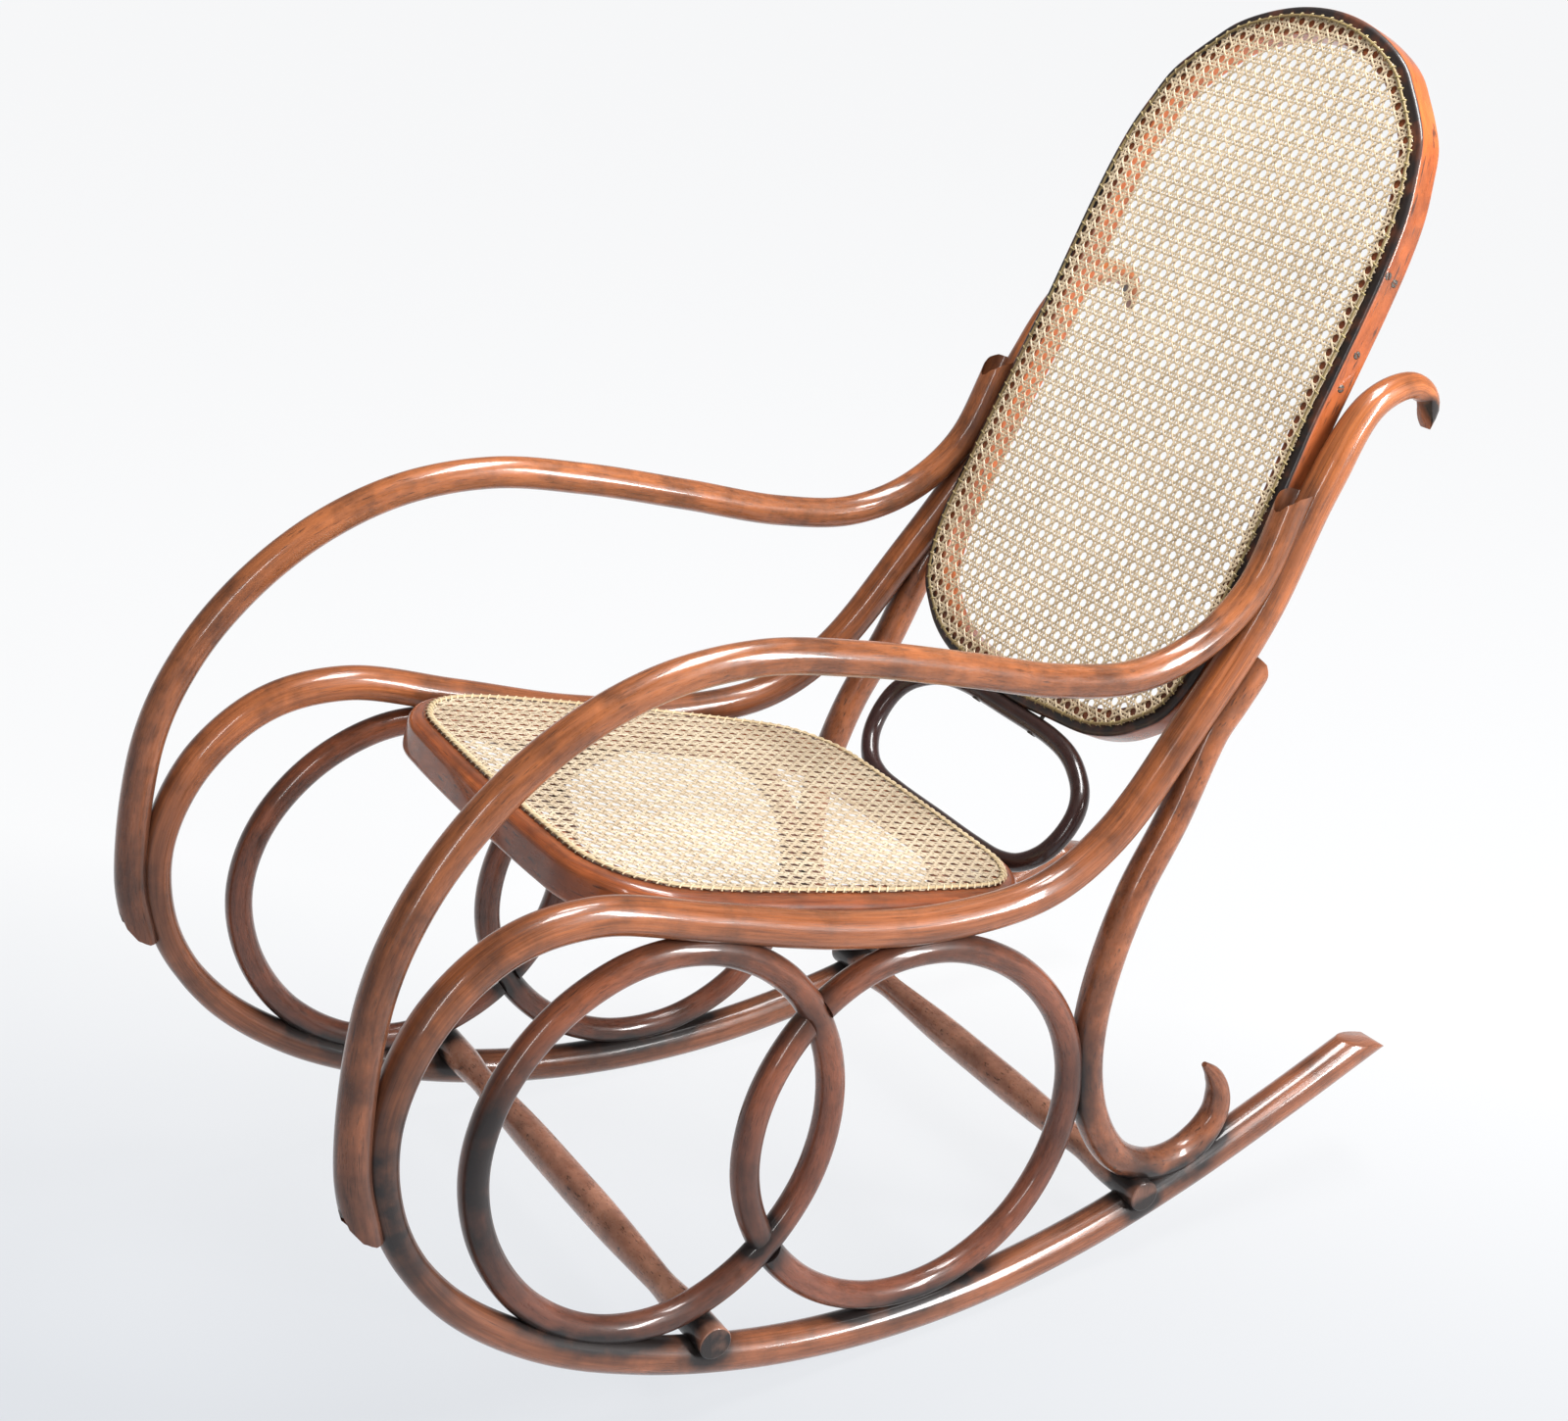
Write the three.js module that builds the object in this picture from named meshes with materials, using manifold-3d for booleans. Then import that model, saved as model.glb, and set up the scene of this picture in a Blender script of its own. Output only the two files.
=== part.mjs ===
import * as THREE from 'three';
import { mergeGeometries, mergeVertices } from 'three/addons/utils/BufferGeometryUtils.js';
import Module from 'manifold-3d';

const wasm = await Module();
wasm.setup();

// Bentwood rocking chair. Millimetres, +Z up, the sitter faces -Y and the sitter's left is +X.

// Side frames: each one lies in a plane that leans in towards the back and the top.
const frameDepth = 993;
const frameHeight = 744;
const bowForwardShare = 0.4743;
const sideHalfWidth = 241.5;
const toeShare = 0.0342;
const leanShare = 0.0266;

// Rod diameters.
const railDiameter = 31;
const rockerDiameter = 34;
const bowDiameter = 23.5;
const scrollTipDiameter = 17;
const armDiameter = 28;
const legDiameter = 29.5;
const legTipDiameter = 9;
const legTaperLength = 85;
const ringDiameter = 24;
const ovalDiameter = 17;

// How deep each rod is let into the one that carries it, and the play left in every seat.
const armLetIn = 6;
const legLetIn = 4;
const legFootLetIn = 12;
const ringLetIn = 5;
const frontRingFootLetIn = 10;
const ringLegLetIn = 8.25;
const frontStretcherLetIn = 10;
const rearStretcherLetIn = 13.5;
const ovalLetIn = 1;
const clearance = 0.3;
const overrun = 30;

// Rings.
const frontRingWidthShare = 0.3182;
const frontRingSetbackShare = 0.068;
const rearRingWidthShare = 0.3278;

// Turned stretchers.
const stretcherEndDiameter = 29;
const stretcherNeckDiameter = 22.5;
const stretcherBarrelDiameter = 31;
const stretcherEndLength = 62;
const stretcherFlareLength = 22;
const stretcherStandout = 21;
const frontStretcherShare = 0.2648;
const rearStretcherShare = 0.7107;
const shoulderShares = [0.51, 0.83];
const barrelShare = 0.31;

// Seat.
const seatDepth = 438;
const seatLetIn = 1.9;
const seatAhead = 11.3;
const seatStandout = 5.8;
const seatRimWidth = 34;
const seatRimHeight = 34;
const seatRimRound = 12;
const seatRimChamfer = 5;

// Back.
const backHeight = 650;
const backLetIn = 6.8;
const backDrop = 78.1;
const backStandout = 1.6;
const backTilt = 6.4;
const backRimWidth = 25;
const backRimDepth = 26;
const backRimRound = 6;
const backRimChamfer = 4;

// Cane panels and the binder cane that runs round them.
const caneThickness = 2.2;
const caneLip = 2;
const seatGapPitch = 42;
const seatGapSize = 25;
const backGapPitch = 44;
const backGapSize = 27;
const gapMargin = 3;
const binderWidth = 5;
const binderThickness = 1.4;
const binderInset = 1.5;

// Oval ring between the seat and the back.
const ovalWidth = 292;
const ovalDrop = 12;
const ovalBackset = 4;

// Screws.
const screwHeadDiameter = 9;
const screwHeadHeight = 2.4;
const screwShankDiameter = 4;
const screwProud = 0.6;
const screwSink = 1.2;
const armScrewLength = 36;
const backScrewLength = 18;
const ovalScrewLength = 24;
const armScrewLow = 26;
const armScrewPitch = 58;
const ovalScrewSpread = 86;
const backScrewHeadDiameter = 7;

// How far behind the side frames' own origin the chair's weight acts.
const balanceBack = 20;

// Where the rail's rocker ends, where it runs under the seat, and where the seat's and the back's
// frames lie beside it, as shares of its length.
const rockerEndShare = 0.4;
const underSeatShares = [0.5, 0.834];
const seatSideShares = [0.599, 0.7288];
const backSideShares = [0.8486, 0.9385];

// Facets.
const railSides = 10;
const rodSides = 8;
const railStep = 48;
const turnStep = 11;
const outlineStep = 60;
const outlineTurn = 12;
const pathCount = 600;
const seekCount = 160;
const legFootStart = 3;

// Slanting ends, as shares of the way across the rod.
const tailBevelShare = 1.1;
const armBevelShare = -0.55;
const legBevelShare = -1;

// The side rail as shares of the frame's depth and height, from the tail to the scroll.
const railShares = [
  [0.994, 0.158], [0.882, 0.108], [0.767, 0.062], [0.651, 0.029], [0.534, 0.0145],
  [0.418, 0.0215], [0.307, 0.049], [0.203, 0.097], [0.1086, 0.1653], [0.0382, 0.2546],
  [0.0014, 0.3574], [0.0009, 0.4691], [0.039, 0.5649], [0.1026, 0.6234], [0.176, 0.6313],
  [0.279, 0.587], [0.391, 0.5355], [0.499, 0.505], [0.598, 0.506], [0.666, 0.55],
  [0.745, 0.6594], [0.815, 0.771], [0.871, 0.903], [0.92, 0.9895], [0.9635, 1.003],
  [0.989, 0.964],
];

// The arm between its two seats on the rail, as shares of the way from the front one to the rear one.
const armShares = [
  [0.0238, 0.452], [0.067, 0.62], [0.129, 0.757], [0.2075, 0.863], [0.296, 0.923], [0.394, 0.928],
  [0.498, 0.8785], [0.613, 0.803], [0.725, 0.726], [0.818, 0.694], [0.894, 0.729],
];
const armFrontShares = [0.4553, 0.4772];
const armRearShares = [0.8915, 0.9255];

// The rings as shares of their own width and height.
const frontRingShares = [
  [0.006, 0.594], [0.085, 0.781], [0.25, 0.928], [0.463, 0.998], [0.68, 0.968], [0.87, 0.839],
  [0.978, 0.65], [0.995, 0.443], [0.921, 0.243], [0.751, 0.076], [0.528, 0.001], [0.308, 0.042],
  [0.125, 0.184], [0.02, 0.384],
];
const rearRingShares = [
  [0, 0.525], [0.049, 0.73], [0.183, 0.9], [0.374, 0.992], [0.592, 0.983], [0.802, 0.871],
  [0.947, 0.691], [1, 0.492], [0.957, 0.282], [0.821, 0.103], [0.613, 0.008], [0.386, 0.02],
  [0.183, 0.135], [0.046, 0.321],
];

// The rear leg below its seat on the rail, as shares of its reach and its height.
const legReachShare = 0.1631;
const legSetbackShare = 0.6516;
const legShares = [
  [0.488, 0.749], [0.259, 0.621], [0.111, 0.502], [0.019, 0.383], [0, 0.267], [0.068, 0.154],
  [0.228, 0.059], [0.451, 0.009], [0.67, 0.001], [0.834, 0.024], [0.943, 0.07], [0.968, 0.121],
  [0.928, 0.158], [0.858, 0.18],
];
const legTopShares = [0.8666, 0.8556, 0.8436];

// Half outlines as shares of the width and the depth, from the middle of one end to the other.
const seatShares = [
  [0, 0], [0.145, 0.002], [0.273, 0.007], [0.345, 0.014], [0.398, 0.036], [0.44, 0.066], [0.467, 0.101],
  [0.489, 0.147], [0.5, 0.222], [0.5, 0.34], [0.495, 0.454], [0.488, 0.568], [0.476, 0.676],
  [0.464, 0.765], [0.452, 0.842], [0.435, 0.9], [0.406, 0.938], [0.362, 0.968], [0.3, 0.991],
  [0.145, 0.998], [0, 1],
];
const backShares = [
  [0, 0], [0.134, 0.006], [0.271, 0.015], [0.356, 0.034], [0.412, 0.057], [0.454, 0.08], [0.482, 0.114],
  [0.5, 0.168], [0.5, 0.252], [0.497, 0.337], [0.49, 0.429], [0.483, 0.506], [0.482, 0.583],
  [0.481, 0.66], [0.474, 0.737], [0.461, 0.788], [0.438, 0.832], [0.412, 0.871], [0.369, 0.902],
  [0.325, 0.928], [0.278, 0.953], [0.206, 0.975], [0.103, 0.994], [0, 1],
];
const ovalShares = [
  [0, 0], [0.205, 0], [0.325, 0.017], [0.404, 0.078], [0.459, 0.191], [0.486, 0.304], [0.5, 0.47],
  [0.493, 0.626], [0.462, 0.757], [0.401, 0.87], [0.329, 0.948], [0.226, 0.991], [0, 1],
];
const rimRoundShare = 0.65;
const backScrewShares = [0.705, 0.7, 0.6, 0.553];
const backScrewDepthShares = [0.24, 0.62, 0.45, 0.45];

// Finishes.
const beech = { color: 0x7a3f24, roughness: 0.32, metalness: 0 };
const darkBeech = { color: 0x3a2320, roughness: 0.3, metalness: 0 };
const straw = { color: 0xcdb48a, roughness: 0.7, metalness: 0 };
const iron = { color: 0x6a6862, roughness: 0.45, metalness: 0.8 };

const radians = THREE.MathUtils.degToRad;
const degrees = THREE.MathUtils.radToDeg;

// A solid from a closed mesh, and a mesh from a solid.
function solidOf(geometry) {
  const plain = geometry.clone();
  plain.deleteAttribute('normal');
  plain.deleteAttribute('uv');
  const merged = mergeVertices(plain);
  return new wasm.Manifold(new wasm.Mesh({
    numProp: 3,
    vertProperties: new Float32Array(merged.attributes.position.array),
    triVerts: new Uint32Array(merged.index.array),
  }));
}

function geometryOf(solid) {
  const mesh = solid.getMesh();
  const geometry = new THREE.BufferGeometry();
  geometry.setAttribute('position', new THREE.BufferAttribute(new Float32Array(mesh.vertProperties), 3));
  geometry.setIndex(new THREE.BufferAttribute(new Uint32Array(mesh.triVerts), 1));
  geometry.computeVertexNormals();
  return geometry;
}

function mirrored(solid) {
  const geometry = geometryOf(solid);
  geometry.scale(-1, 1, 1);
  const index = geometry.index.array;
  for (let i = 0; i < index.length; i += 3) [index[i], index[i + 1]] = [index[i + 1], index[i]];
  return solidOf(geometry);
}

// Points along a curve, closer together where it bends.
function walk(curve, step, turn) {
  const fine = 2 * pathCount;
  const points = curve.getSpacedPoints(fine);
  const kept = [points[0]];
  let length = 0;
  let angle = 0;
  for (let i = 1; i < fine; i += 1) {
    const before = points[i].clone().sub(points[i - 1]);
    const after = points[i + 1].clone().sub(points[i]);
    length += before.length();
    angle += before.angleTo(after);
    if (length > step || angle > radians(turn)) {
      kept.push(points[i]);
      length = 0;
      angle = 0;
    }
  }
  if (curve.closed) {
    const tail = kept[kept.length - 1].distanceTo(points[fine]);
    if (tail < step / 3) kept.pop();
  } else {
    const tail = kept[kept.length - 1].distanceTo(points[fine]);
    if (tail < step / 3 && kept.length > 2) kept.pop();
    kept.push(points[fine]);
  }
  return kept;
}

// A closed solid swept along points. Each section is a list of places along the given
// direction and across the path.
function sweep(points, normal, sectionAt, closed, startBevel = 0, endBevel = 0) {
  const count = points.length;
  const lengths = [0];
  for (let i = 1; i < count; i += 1) lengths.push(lengths[i - 1] + points[i].distanceTo(points[i - 1]));
  const total = lengths[count - 1];
  const vertices = [];
  let sides = 0;
  for (let i = 0; i < count; i += 1) {
    const before = points[closed ? (i + count - 1) % count : Math.max(i - 1, 0)];
    const after = points[closed ? (i + 1) % count : Math.min(i + 1, count - 1)];
    const along = after.clone().sub(before).normalize();
    const level = normal.clone().addScaledVector(along, -normal.dot(along)).normalize();
    const across = new THREE.Vector3().crossVectors(level, along);
    const section = sectionAt(lengths[i] / total);
    sides = section.length;
    for (const [up, out] of section) {
      const vertex = points[i].clone().addScaledVector(level, up).addScaledVector(across, out);
      if (!closed && i === 0) vertex.addScaledVector(along, -startBevel * out);
      if (!closed && i === count - 1) vertex.addScaledVector(along, endBevel * out);
      vertices.push(vertex.x, vertex.y, vertex.z);
    }
  }
  const index = [];
  const rings = closed ? count : count - 1;
  for (let i = 0; i < rings; i += 1) {
    const next = (i + 1) % count;
    for (let j = 0; j < sides; j += 1) {
      const k = (j + 1) % sides;
      index.push(i * sides + j, next * sides + j, next * sides + k);
      index.push(i * sides + j, next * sides + k, i * sides + k);
    }
  }
  if (!closed) {
    for (let j = 1; j < sides - 1; j += 1) {
      index.push(0, j, j + 1);
      const last = (count - 1) * sides;
      index.push(last, last + j + 1, last + j);
    }
  }
  const geometry = new THREE.BufferGeometry();
  geometry.setAttribute('position', new THREE.Float32BufferAttribute(vertices, 3));
  geometry.setIndex(index);
  let volume = 0;
  const a = new THREE.Vector3();
  const b = new THREE.Vector3();
  const c = new THREE.Vector3();
  const position = geometry.attributes.position;
  for (let i = 0; i < index.length; i += 3) {
    a.fromBufferAttribute(position, index[i]);
    b.fromBufferAttribute(position, index[i + 1]);
    c.fromBufferAttribute(position, index[i + 2]);
    volume += a.dot(b.cross(c));
  }
  if (volume < 0) {
    for (let i = 0; i < index.length; i += 3) [index[i], index[i + 1]] = [index[i + 1], index[i]];
    geometry.setIndex(index);
  }
  return geometry;
}

function round(radiusAt, sides) {
  return (share) => {
    const radius = radiusAt(share);
    const section = [];
    for (let j = 0; j < sides; j += 1) {
      const angle = ((j + 0.5) / sides) * Math.PI * 2;
      section.push([radius * Math.sin(angle), radius * Math.cos(angle)]);
    }
    return section;
  };
}

// The leaning plane of the side frames.
function sideX(y, z) {
  return sideHalfWidth - toeShare * y - leanShare * z;
}

function flatCurve(places, closed) {
  const points = places.map(([y, z]) => new THREE.Vector3(0, y, z));
  return new THREE.CatmullRomCurve3(points, closed, 'centripetal');
}

function inSidePlane(points) {
  return points.map((point) => new THREE.Vector3(sideX(point.y, point.z), point.y, point.z));
}

function rod(curve, radiusAt, sides, grow, closed, startBevel = 0, endBevel = 0) {
  const section = round((share) => radiusAt(share) + grow, sides);
  const points = inSidePlane(walk(curve, railStep, turnStep));
  return solidOf(sweep(points, new THREE.Vector3(1, 0, 0), section, closed, startBevel, endBevel));
}

// Side rail: one rod from the tail of the rocker to the scroll behind the back.
const railRadius = railDiameter / 2;
const rockerRadius = rockerDiameter / 2;
const bowForward = bowForwardShare * frameDepth;
const railPlaces = railShares.map(([depth, height]) => [
  depth * frameDepth - bowForward,
  height * frameHeight,
]);
const railCurve = flatCurve(railPlaces, false);
const railPath = railCurve.getSpacedPoints(pathCount);

// The rail is thickest on the rocker and thinnest low on the bow, and its scroll tapers.
const thicknessShares = [0, 0.2, 0.35, 0.43, 0.52, 0.935, 1];
const thicknesses = [
  rockerDiameter, rockerDiameter, railDiameter, bowDiameter, railDiameter, railDiameter, scrollTipDiameter,
];

function railRadiusAt(share) {
  const next = Math.max(thicknessShares.findIndex((value) => value >= share), 1);
  const before = thicknessShares[next - 1];
  const part = (share - before) / (thicknessShares[next] - before);
  return THREE.MathUtils.lerp(thicknesses[next - 1], thicknesses[next], part) / 2;
}

function railSolid(grow) {
  return rod(railCurve, railRadiusAt, railSides, grow, false, tailBevelShare, 0);
}

// A place beside the rail: outside its bend for the arm, behind it for the leg.
function besideRail(share, distance) {
  const point = railCurve.getPointAt(share);
  const tangent = railCurve.getTangentAt(share);
  return [point.y + tangent.z * distance, point.z - tangent.y * distance];
}

// Arm: seated on the front of the bow and on the front of the post.
const armRadius = armDiameter / 2;
const armSeat = (share) => besideRail(share, armLetIn - armRadius - railRadiusAt(share));
const armFront = armFrontShares.map(armSeat);
const armRear = armRearShares.map(armSeat);
const armSpan = [
  armRear[armRear.length - 1][0] - armFront[0][0],
  armRear[armRear.length - 1][1] - armFront[0][1],
];
const armPlaces = [
  ...armFront,
  ...armShares.map(([depth, height]) => [
    armFront[0][0] + depth * armSpan[0],
    armFront[0][1] + height * armSpan[1],
  ]),
  ...armRear,
];
const armCurve = flatCurve(armPlaces, false);

function armSolid(grow) {
  return rod(armCurve, () => armRadius, rodSides, grow, false, armBevelShare, armBevelShare);
}

// Rear leg: seated behind the post, hooked forward and up again on the rocker.
const legRadius = legDiameter / 2;
const legOffset = railRadius + legRadius - legLetIn;
const legFootOffset = rockerRadius + legRadius - legFootLetIn;
const legTop = legTopShares.map((share) => besideRail(share, legOffset));

function leastDistance(first, second) {
  let least = Infinity;
  for (const a of first) {
    for (const b of second) least = Math.min(least, Math.hypot(a.y - b.y, a.z - b.z));
  }
  return least;
}

const rockerPath = railPath.slice(0, pathCount * rockerEndShare);
const seatRailPath = railPath.slice(pathCount * underSeatShares[0], pathCount * underSeatShares[1]);

function legPlaces(low) {
  const high = legTop[0][1];
  const front = legSetbackShare * frameDepth - bowForward;
  return [
    ...legTop,
    ...legShares.map(([reach, height]) => [
      front + reach * legReachShare * frameDepth,
      low + height * (high - low),
    ]),
  ];
}

let legLow = railRadius + legRadius + railRadius;
for (let i = 0; i < 8; i += 1) {
  const hook = legPlaces(legLow).slice(legTop.length + legFootStart);
  const hookPath = flatCurve(hook, false).getSpacedPoints(seekCount);
  legLow += legFootOffset - leastDistance(hookPath, rockerPath);
}
const legCurve = flatCurve(legPlaces(legLow), false);
const legLength = legCurve.getLength();

function legRadiusAt(share) {
  const left = Math.min(((1 - share) * legLength) / legTaperLength, 1);
  return THREE.MathUtils.lerp(legTipDiameter / 2, legRadius, left);
}

function legSolid(grow) {
  return rod(legCurve, legRadiusAt, rodSides, grow, false, legBevelShare, 0);
}

// Rings: each touches the rail above and the rocker below. The rear one also touches the leg.
const ringRadius = ringDiameter / 2;
const ringReach = railRadius + ringRadius - ringLetIn;

function ringCurve(shares, front, width, low, high, footLetIn) {
  const footReach = rockerRadius + ringRadius - footLetIn;
  let bottom = low;
  let top = high;
  const places = () => shares.map(([depth, height]) => [
    front + depth * width,
    bottom + height * (top - bottom),
  ]);
  for (let i = 0; i < 12; i += 1) {
    const loop = flatCurve(places(), true).getSpacedPoints(seekCount);
    const middle = (bottom + top) / 2;
    top += leastDistance(loop.filter((point) => point.z > middle), seatRailPath) - ringReach;
    bottom -= leastDistance(loop.filter((point) => point.z < middle), rockerPath) - footReach;
  }
  return flatCurve(places(), true);
}

const legFront = Math.min(...legCurve.getSpacedPoints(pathCount).map((point) => point.y));
const frontRingWidth = frontRingWidthShare * frameDepth;
const rearRingWidth = rearRingWidthShare * frameDepth;
const frontRingFront = frontRingSetbackShare * frameDepth - bowForward;
const rearRingFront = legFront - legRadius - ringRadius + ringLegLetIn - rearRingWidth;
const ringLow = railDiameter + ringRadius;
const ringHigh = frameHeight / 2;
const frontRingCurve = ringCurve(
  frontRingShares, frontRingFront, frontRingWidth, ringLow * 2, ringHigh, frontRingFootLetIn,
);
const rearRingCurve = ringCurve(
  rearRingShares, rearRingFront, rearRingWidth, ringLow, ringHigh, ringLetIn,
);

function ringSolid(curve, grow) {
  return rod(curve, () => ringRadius, rodSides, grow, true);
}

// Half of the space at the side plane, outside it or inside it, for the lapped crossings.
function halfSpace(side) {
  const near = -side * clearance / 2;
  const far = side * (ringDiameter + overrun);
  const front = -bowForward;
  const frameCorners = [
    [front, 0], [frameDepth, 0], [frameDepth, frameHeight], [front, frameHeight],
  ];
  const corners = [];
  for (const offset of [near, far]) {
    for (const [y, z] of frameCorners) corners.push(sideX(y, z) + offset, y, z);
  }
  const index = [0, 2, 1, 0, 3, 2, 4, 5, 6, 4, 6, 7];
  for (let i = 0; i < 4; i += 1) {
    const j = (i + 1) % 4;
    index.push(i, j, j + 4, i, j + 4, i + 4);
  }
  if (side < 0) {
    for (let i = 0; i < index.length; i += 3) [index[i], index[i + 1]] = [index[i + 1], index[i]];
  }
  const geometry = new THREE.BufferGeometry();
  geometry.setAttribute('position', new THREE.Float32BufferAttribute(corners, 3));
  geometry.setIndex(index);
  return solidOf(geometry);
}

// Turned stretchers, seated in the wedges between the rocker and the ring or the leg.
function lathe(profile, sides) {
  const points = profile.map(([radius, height]) => new THREE.Vector2(radius, height));
  return new THREE.LatheGeometry(points, sides);
}

function stretcherSolid(y, z, grow) {
  const half = sideX(y, z) + stretcherStandout;
  const end = stretcherEndDiameter / 2 + grow;
  const neck = stretcherNeckDiameter / 2 + grow;
  const barrel = stretcherBarrelDiameter / 2 + grow;
  const reach = half + (grow > 0 ? overrun : 0);
  const flare = half - stretcherEndLength;
  const inner = flare - stretcherFlareLength;
  const shoulder = THREE.MathUtils.lerp(neck, barrel, shoulderShares[1]);
  const rising = [
    [0, reach],
    [end, reach],
    [end, flare],
    [neck, inner],
    [shoulder, inner * shoulderShares[0]],
    [barrel, inner * barrelShare],
  ];
  const profile = [...rising.map(([radius, height]) => [radius, -height]), ...rising.reverse()];
  const geometry = lathe(profile, railSides);
  geometry.rotateZ(-Math.PI / 2);
  geometry.translate(0, y, z);
  return solidOf(geometry);
}

// The height at which a stretcher's end sinks into the rocker by the let-in.
function onRocker(y, letIn) {
  const reach = rockerRadius + stretcherEndDiameter / 2 - letIn;
  let z = reach + frontRingWidth;
  for (let i = 0; i < 20; i += 1) z += reach - leastDistance([{ y, z }], rockerPath);
  return z;
}

const frontStretcherY = frontStretcherShare * frameDepth - bowForward;
const rearStretcherY = rearStretcherShare * frameDepth - bowForward;
const frontStretcherZ = onRocker(frontStretcherY, frontStretcherLetIn);
const rearStretcherZ = onRocker(rearStretcherY, rearStretcherLetIn);

// A tilted plane, with its across axis along X.
function tilted(y, z, rise) {
  const up = new THREE.Vector3(0, Math.cos(radians(rise)), Math.sin(radians(rise)));
  const normal = new THREE.Vector3(1, 0, 0).cross(up);
  const origin = new THREE.Vector3(0, y, z);
  return {
    up,
    normal,
    point: (x, along, out) => origin.clone()
      .add(new THREE.Vector3(x, 0, 0))
      .addScaledVector(up, along)
      .addScaledVector(normal, out),
    matrix: new THREE.Matrix4().makeBasis(new THREE.Vector3(1, 0, 0), up, normal).setPosition(origin),
  };
}

// A closed outline from half of it, in a plane's own coordinates.
function outline(shares, width, length) {
  const half = shares.map(([across, along]) => new THREE.Vector3(across * width, along * length, 0));
  const other = half.slice(1, -1).reverse().map((point) => new THREE.Vector3(-point.x, point.y, 0));
  return new THREE.CatmullRomCurve3([...half, ...other], true, 'centripetal');
}

// A panel's plane: turned by its tilt from the line between two places on the rail, and moved
// along that line and out from it.
function panelPlane(shares, tilt, along, out) {
  const [low, high] = shares.map((share) => railCurve.getPointAt(share));
  const rise = degrees(Math.atan2(high.z - low.z, high.y - low.y)) + tilt;
  const origin = tilted(low.y, low.z, rise).point(0, along, out);
  return tilted(origin.y, origin.z, rise);
}

// The width of a frame that is let into both rails by its sides.
function widthBetweenRails(plane, middle, round, letIn) {
  const { y, z } = plane.point(0, middle, 0);
  return 2 * (sideX(y, z) - railRadius - round + letIn);
}

function inset(curve, distance, step, turn) {
  const points = walk(curve, step, turn);
  const count = points.length;
  return points.map((point, i) => {
    const along = points[(i + 1) % count].clone().sub(points[(i + count - 1) % count]).normalize();
    return point.clone().add(new THREE.Vector3(-along.y, along.x, 0).multiplyScalar(distance));
  });
}

function loop(curve, plane, section, step, turn) {
  const points = walk(curve, step, turn).map((point) => plane.point(point.x, point.y, 0));
  const outward = section.map(([up, out]) => [up, -out]);
  return solidOf(sweep(points, plane.normal, () => outward, true));
}

const seatPlane = panelPlane(seatSideShares, 0, -seatAhead, seatStandout);
const backPlane = panelPlane(backSideShares, backTilt, -backDrop, backStandout);
const seatWidth = widthBetweenRails(seatPlane, seatDepth / 2, seatRimRound, seatLetIn);
const backWidth = widthBetweenRails(backPlane, backHeight / 2, backRimRound, backLetIn);
const seatOutline = outline(seatShares, seatWidth, seatDepth);
const backOutline = outline(backShares, backWidth, backHeight);

// Bent frames: the top edge is rounded outside the cane and the other edges are eased.
function rimSection(width, height, outside, chamfer, lip) {
  const inside = outside - width;
  return [
    [0, inside + chamfer],
    [0, lip],
    [-(outside - lip) * (1 - rimRoundShare), lip + (outside - lip) * rimRoundShare],
    [-(outside - lip), outside],
    [-height + chamfer, outside],
    [-height, outside - chamfer],
    [-height, inside + chamfer],
    [-height + chamfer, inside],
    [-chamfer, inside],
  ];
}

const seatRim = rimSection(seatRimWidth, seatRimHeight, seatRimRound, seatRimChamfer, caneLip);
const backRim = rimSection(backRimWidth, backRimDepth, backRimRound, backRimChamfer, caneLip);

// Cane: a flat net with open gaps inside the frame.
function caneSolid(curve, plane, rimInside, pitch, size, length) {
  const edge = walk(curve, outlineStep, outlineTurn);
  const shape = new THREE.Shape(edge.map((point) => new THREE.Vector2(point.x, point.y)));
  const plate = new THREE.ExtrudeGeometry(shape, { depth: caneThickness, bevelEnabled: false });
  const clear = inset(curve, rimInside + gapMargin, outlineStep, outlineTurn);
  const inside = (x, y) => {
    let odd = false;
    for (let i = 0, j = clear.length - 1; i < clear.length; j = i, i += 1) {
      const a = clear[i];
      const b = clear[j];
      if (a.y > y !== b.y > y && x < ((b.x - a.x) * (y - a.y)) / (b.y - a.y) + a.x) odd = !odd;
    }
    return odd;
  };
  const rows = Math.floor(length / pitch);
  const start = (length - (rows - 1) * pitch) / 2;
  const gaps = [];
  for (let row = 0; row < rows; row += 1) {
    for (let column = -rows; column <= rows; column += 1) {
      const x = column * pitch;
      const y = start + row * pitch;
      const h = size / 2;
      const corners = [[x - h, y - h], [x + h, y - h], [x + h, y + h], [x - h, y + h]];
      if (corners.every(([cx, cy]) => inside(cx, cy))) {
        gaps.push(new THREE.BoxGeometry(size, size, size).translate(x, y, 0));
      }
    }
  }
  const net = solidOf(plate).subtract(solidOf(mergeGeometries(gaps)));
  const geometry = geometryOf(net);
  geometry.translate(0, 0, clearance);
  geometry.applyMatrix4(plane.matrix);
  return solidOf(geometry);
}

function binderSolid(curve, plane) {
  const low = clearance + caneThickness + clearance;
  const outer = -binderInset;
  const section = [
    [low, outer],
    [low + binderThickness, outer - binderThickness],
    [low + binderThickness, outer - binderWidth + binderThickness],
    [low, outer - binderWidth],
  ];
  return loop(curve, plane, section, outlineStep, outlineTurn);
}

// Oval ring: from the rear face of the seat frame to the foot of the back frame.
const ovalRadius = ovalDiameter / 2;
const ovalReach = ovalRadius - ovalLetIn;
const ovalFoot = seatPlane.point(0, seatDepth + seatRimRound + ovalReach, -ovalDrop);
const ovalHead = backPlane.point(0, -backRimRound - ovalReach, -ovalBackset);
const ovalRise = degrees(Math.atan2(ovalHead.z - ovalFoot.z, ovalHead.y - ovalFoot.y));
const ovalPlane = tilted(ovalFoot.y, ovalFoot.z, ovalRise);
const ovalHeight = ovalFoot.distanceTo(ovalHead);
const ovalOutline = outline(ovalShares, ovalWidth, ovalHeight);

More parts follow.
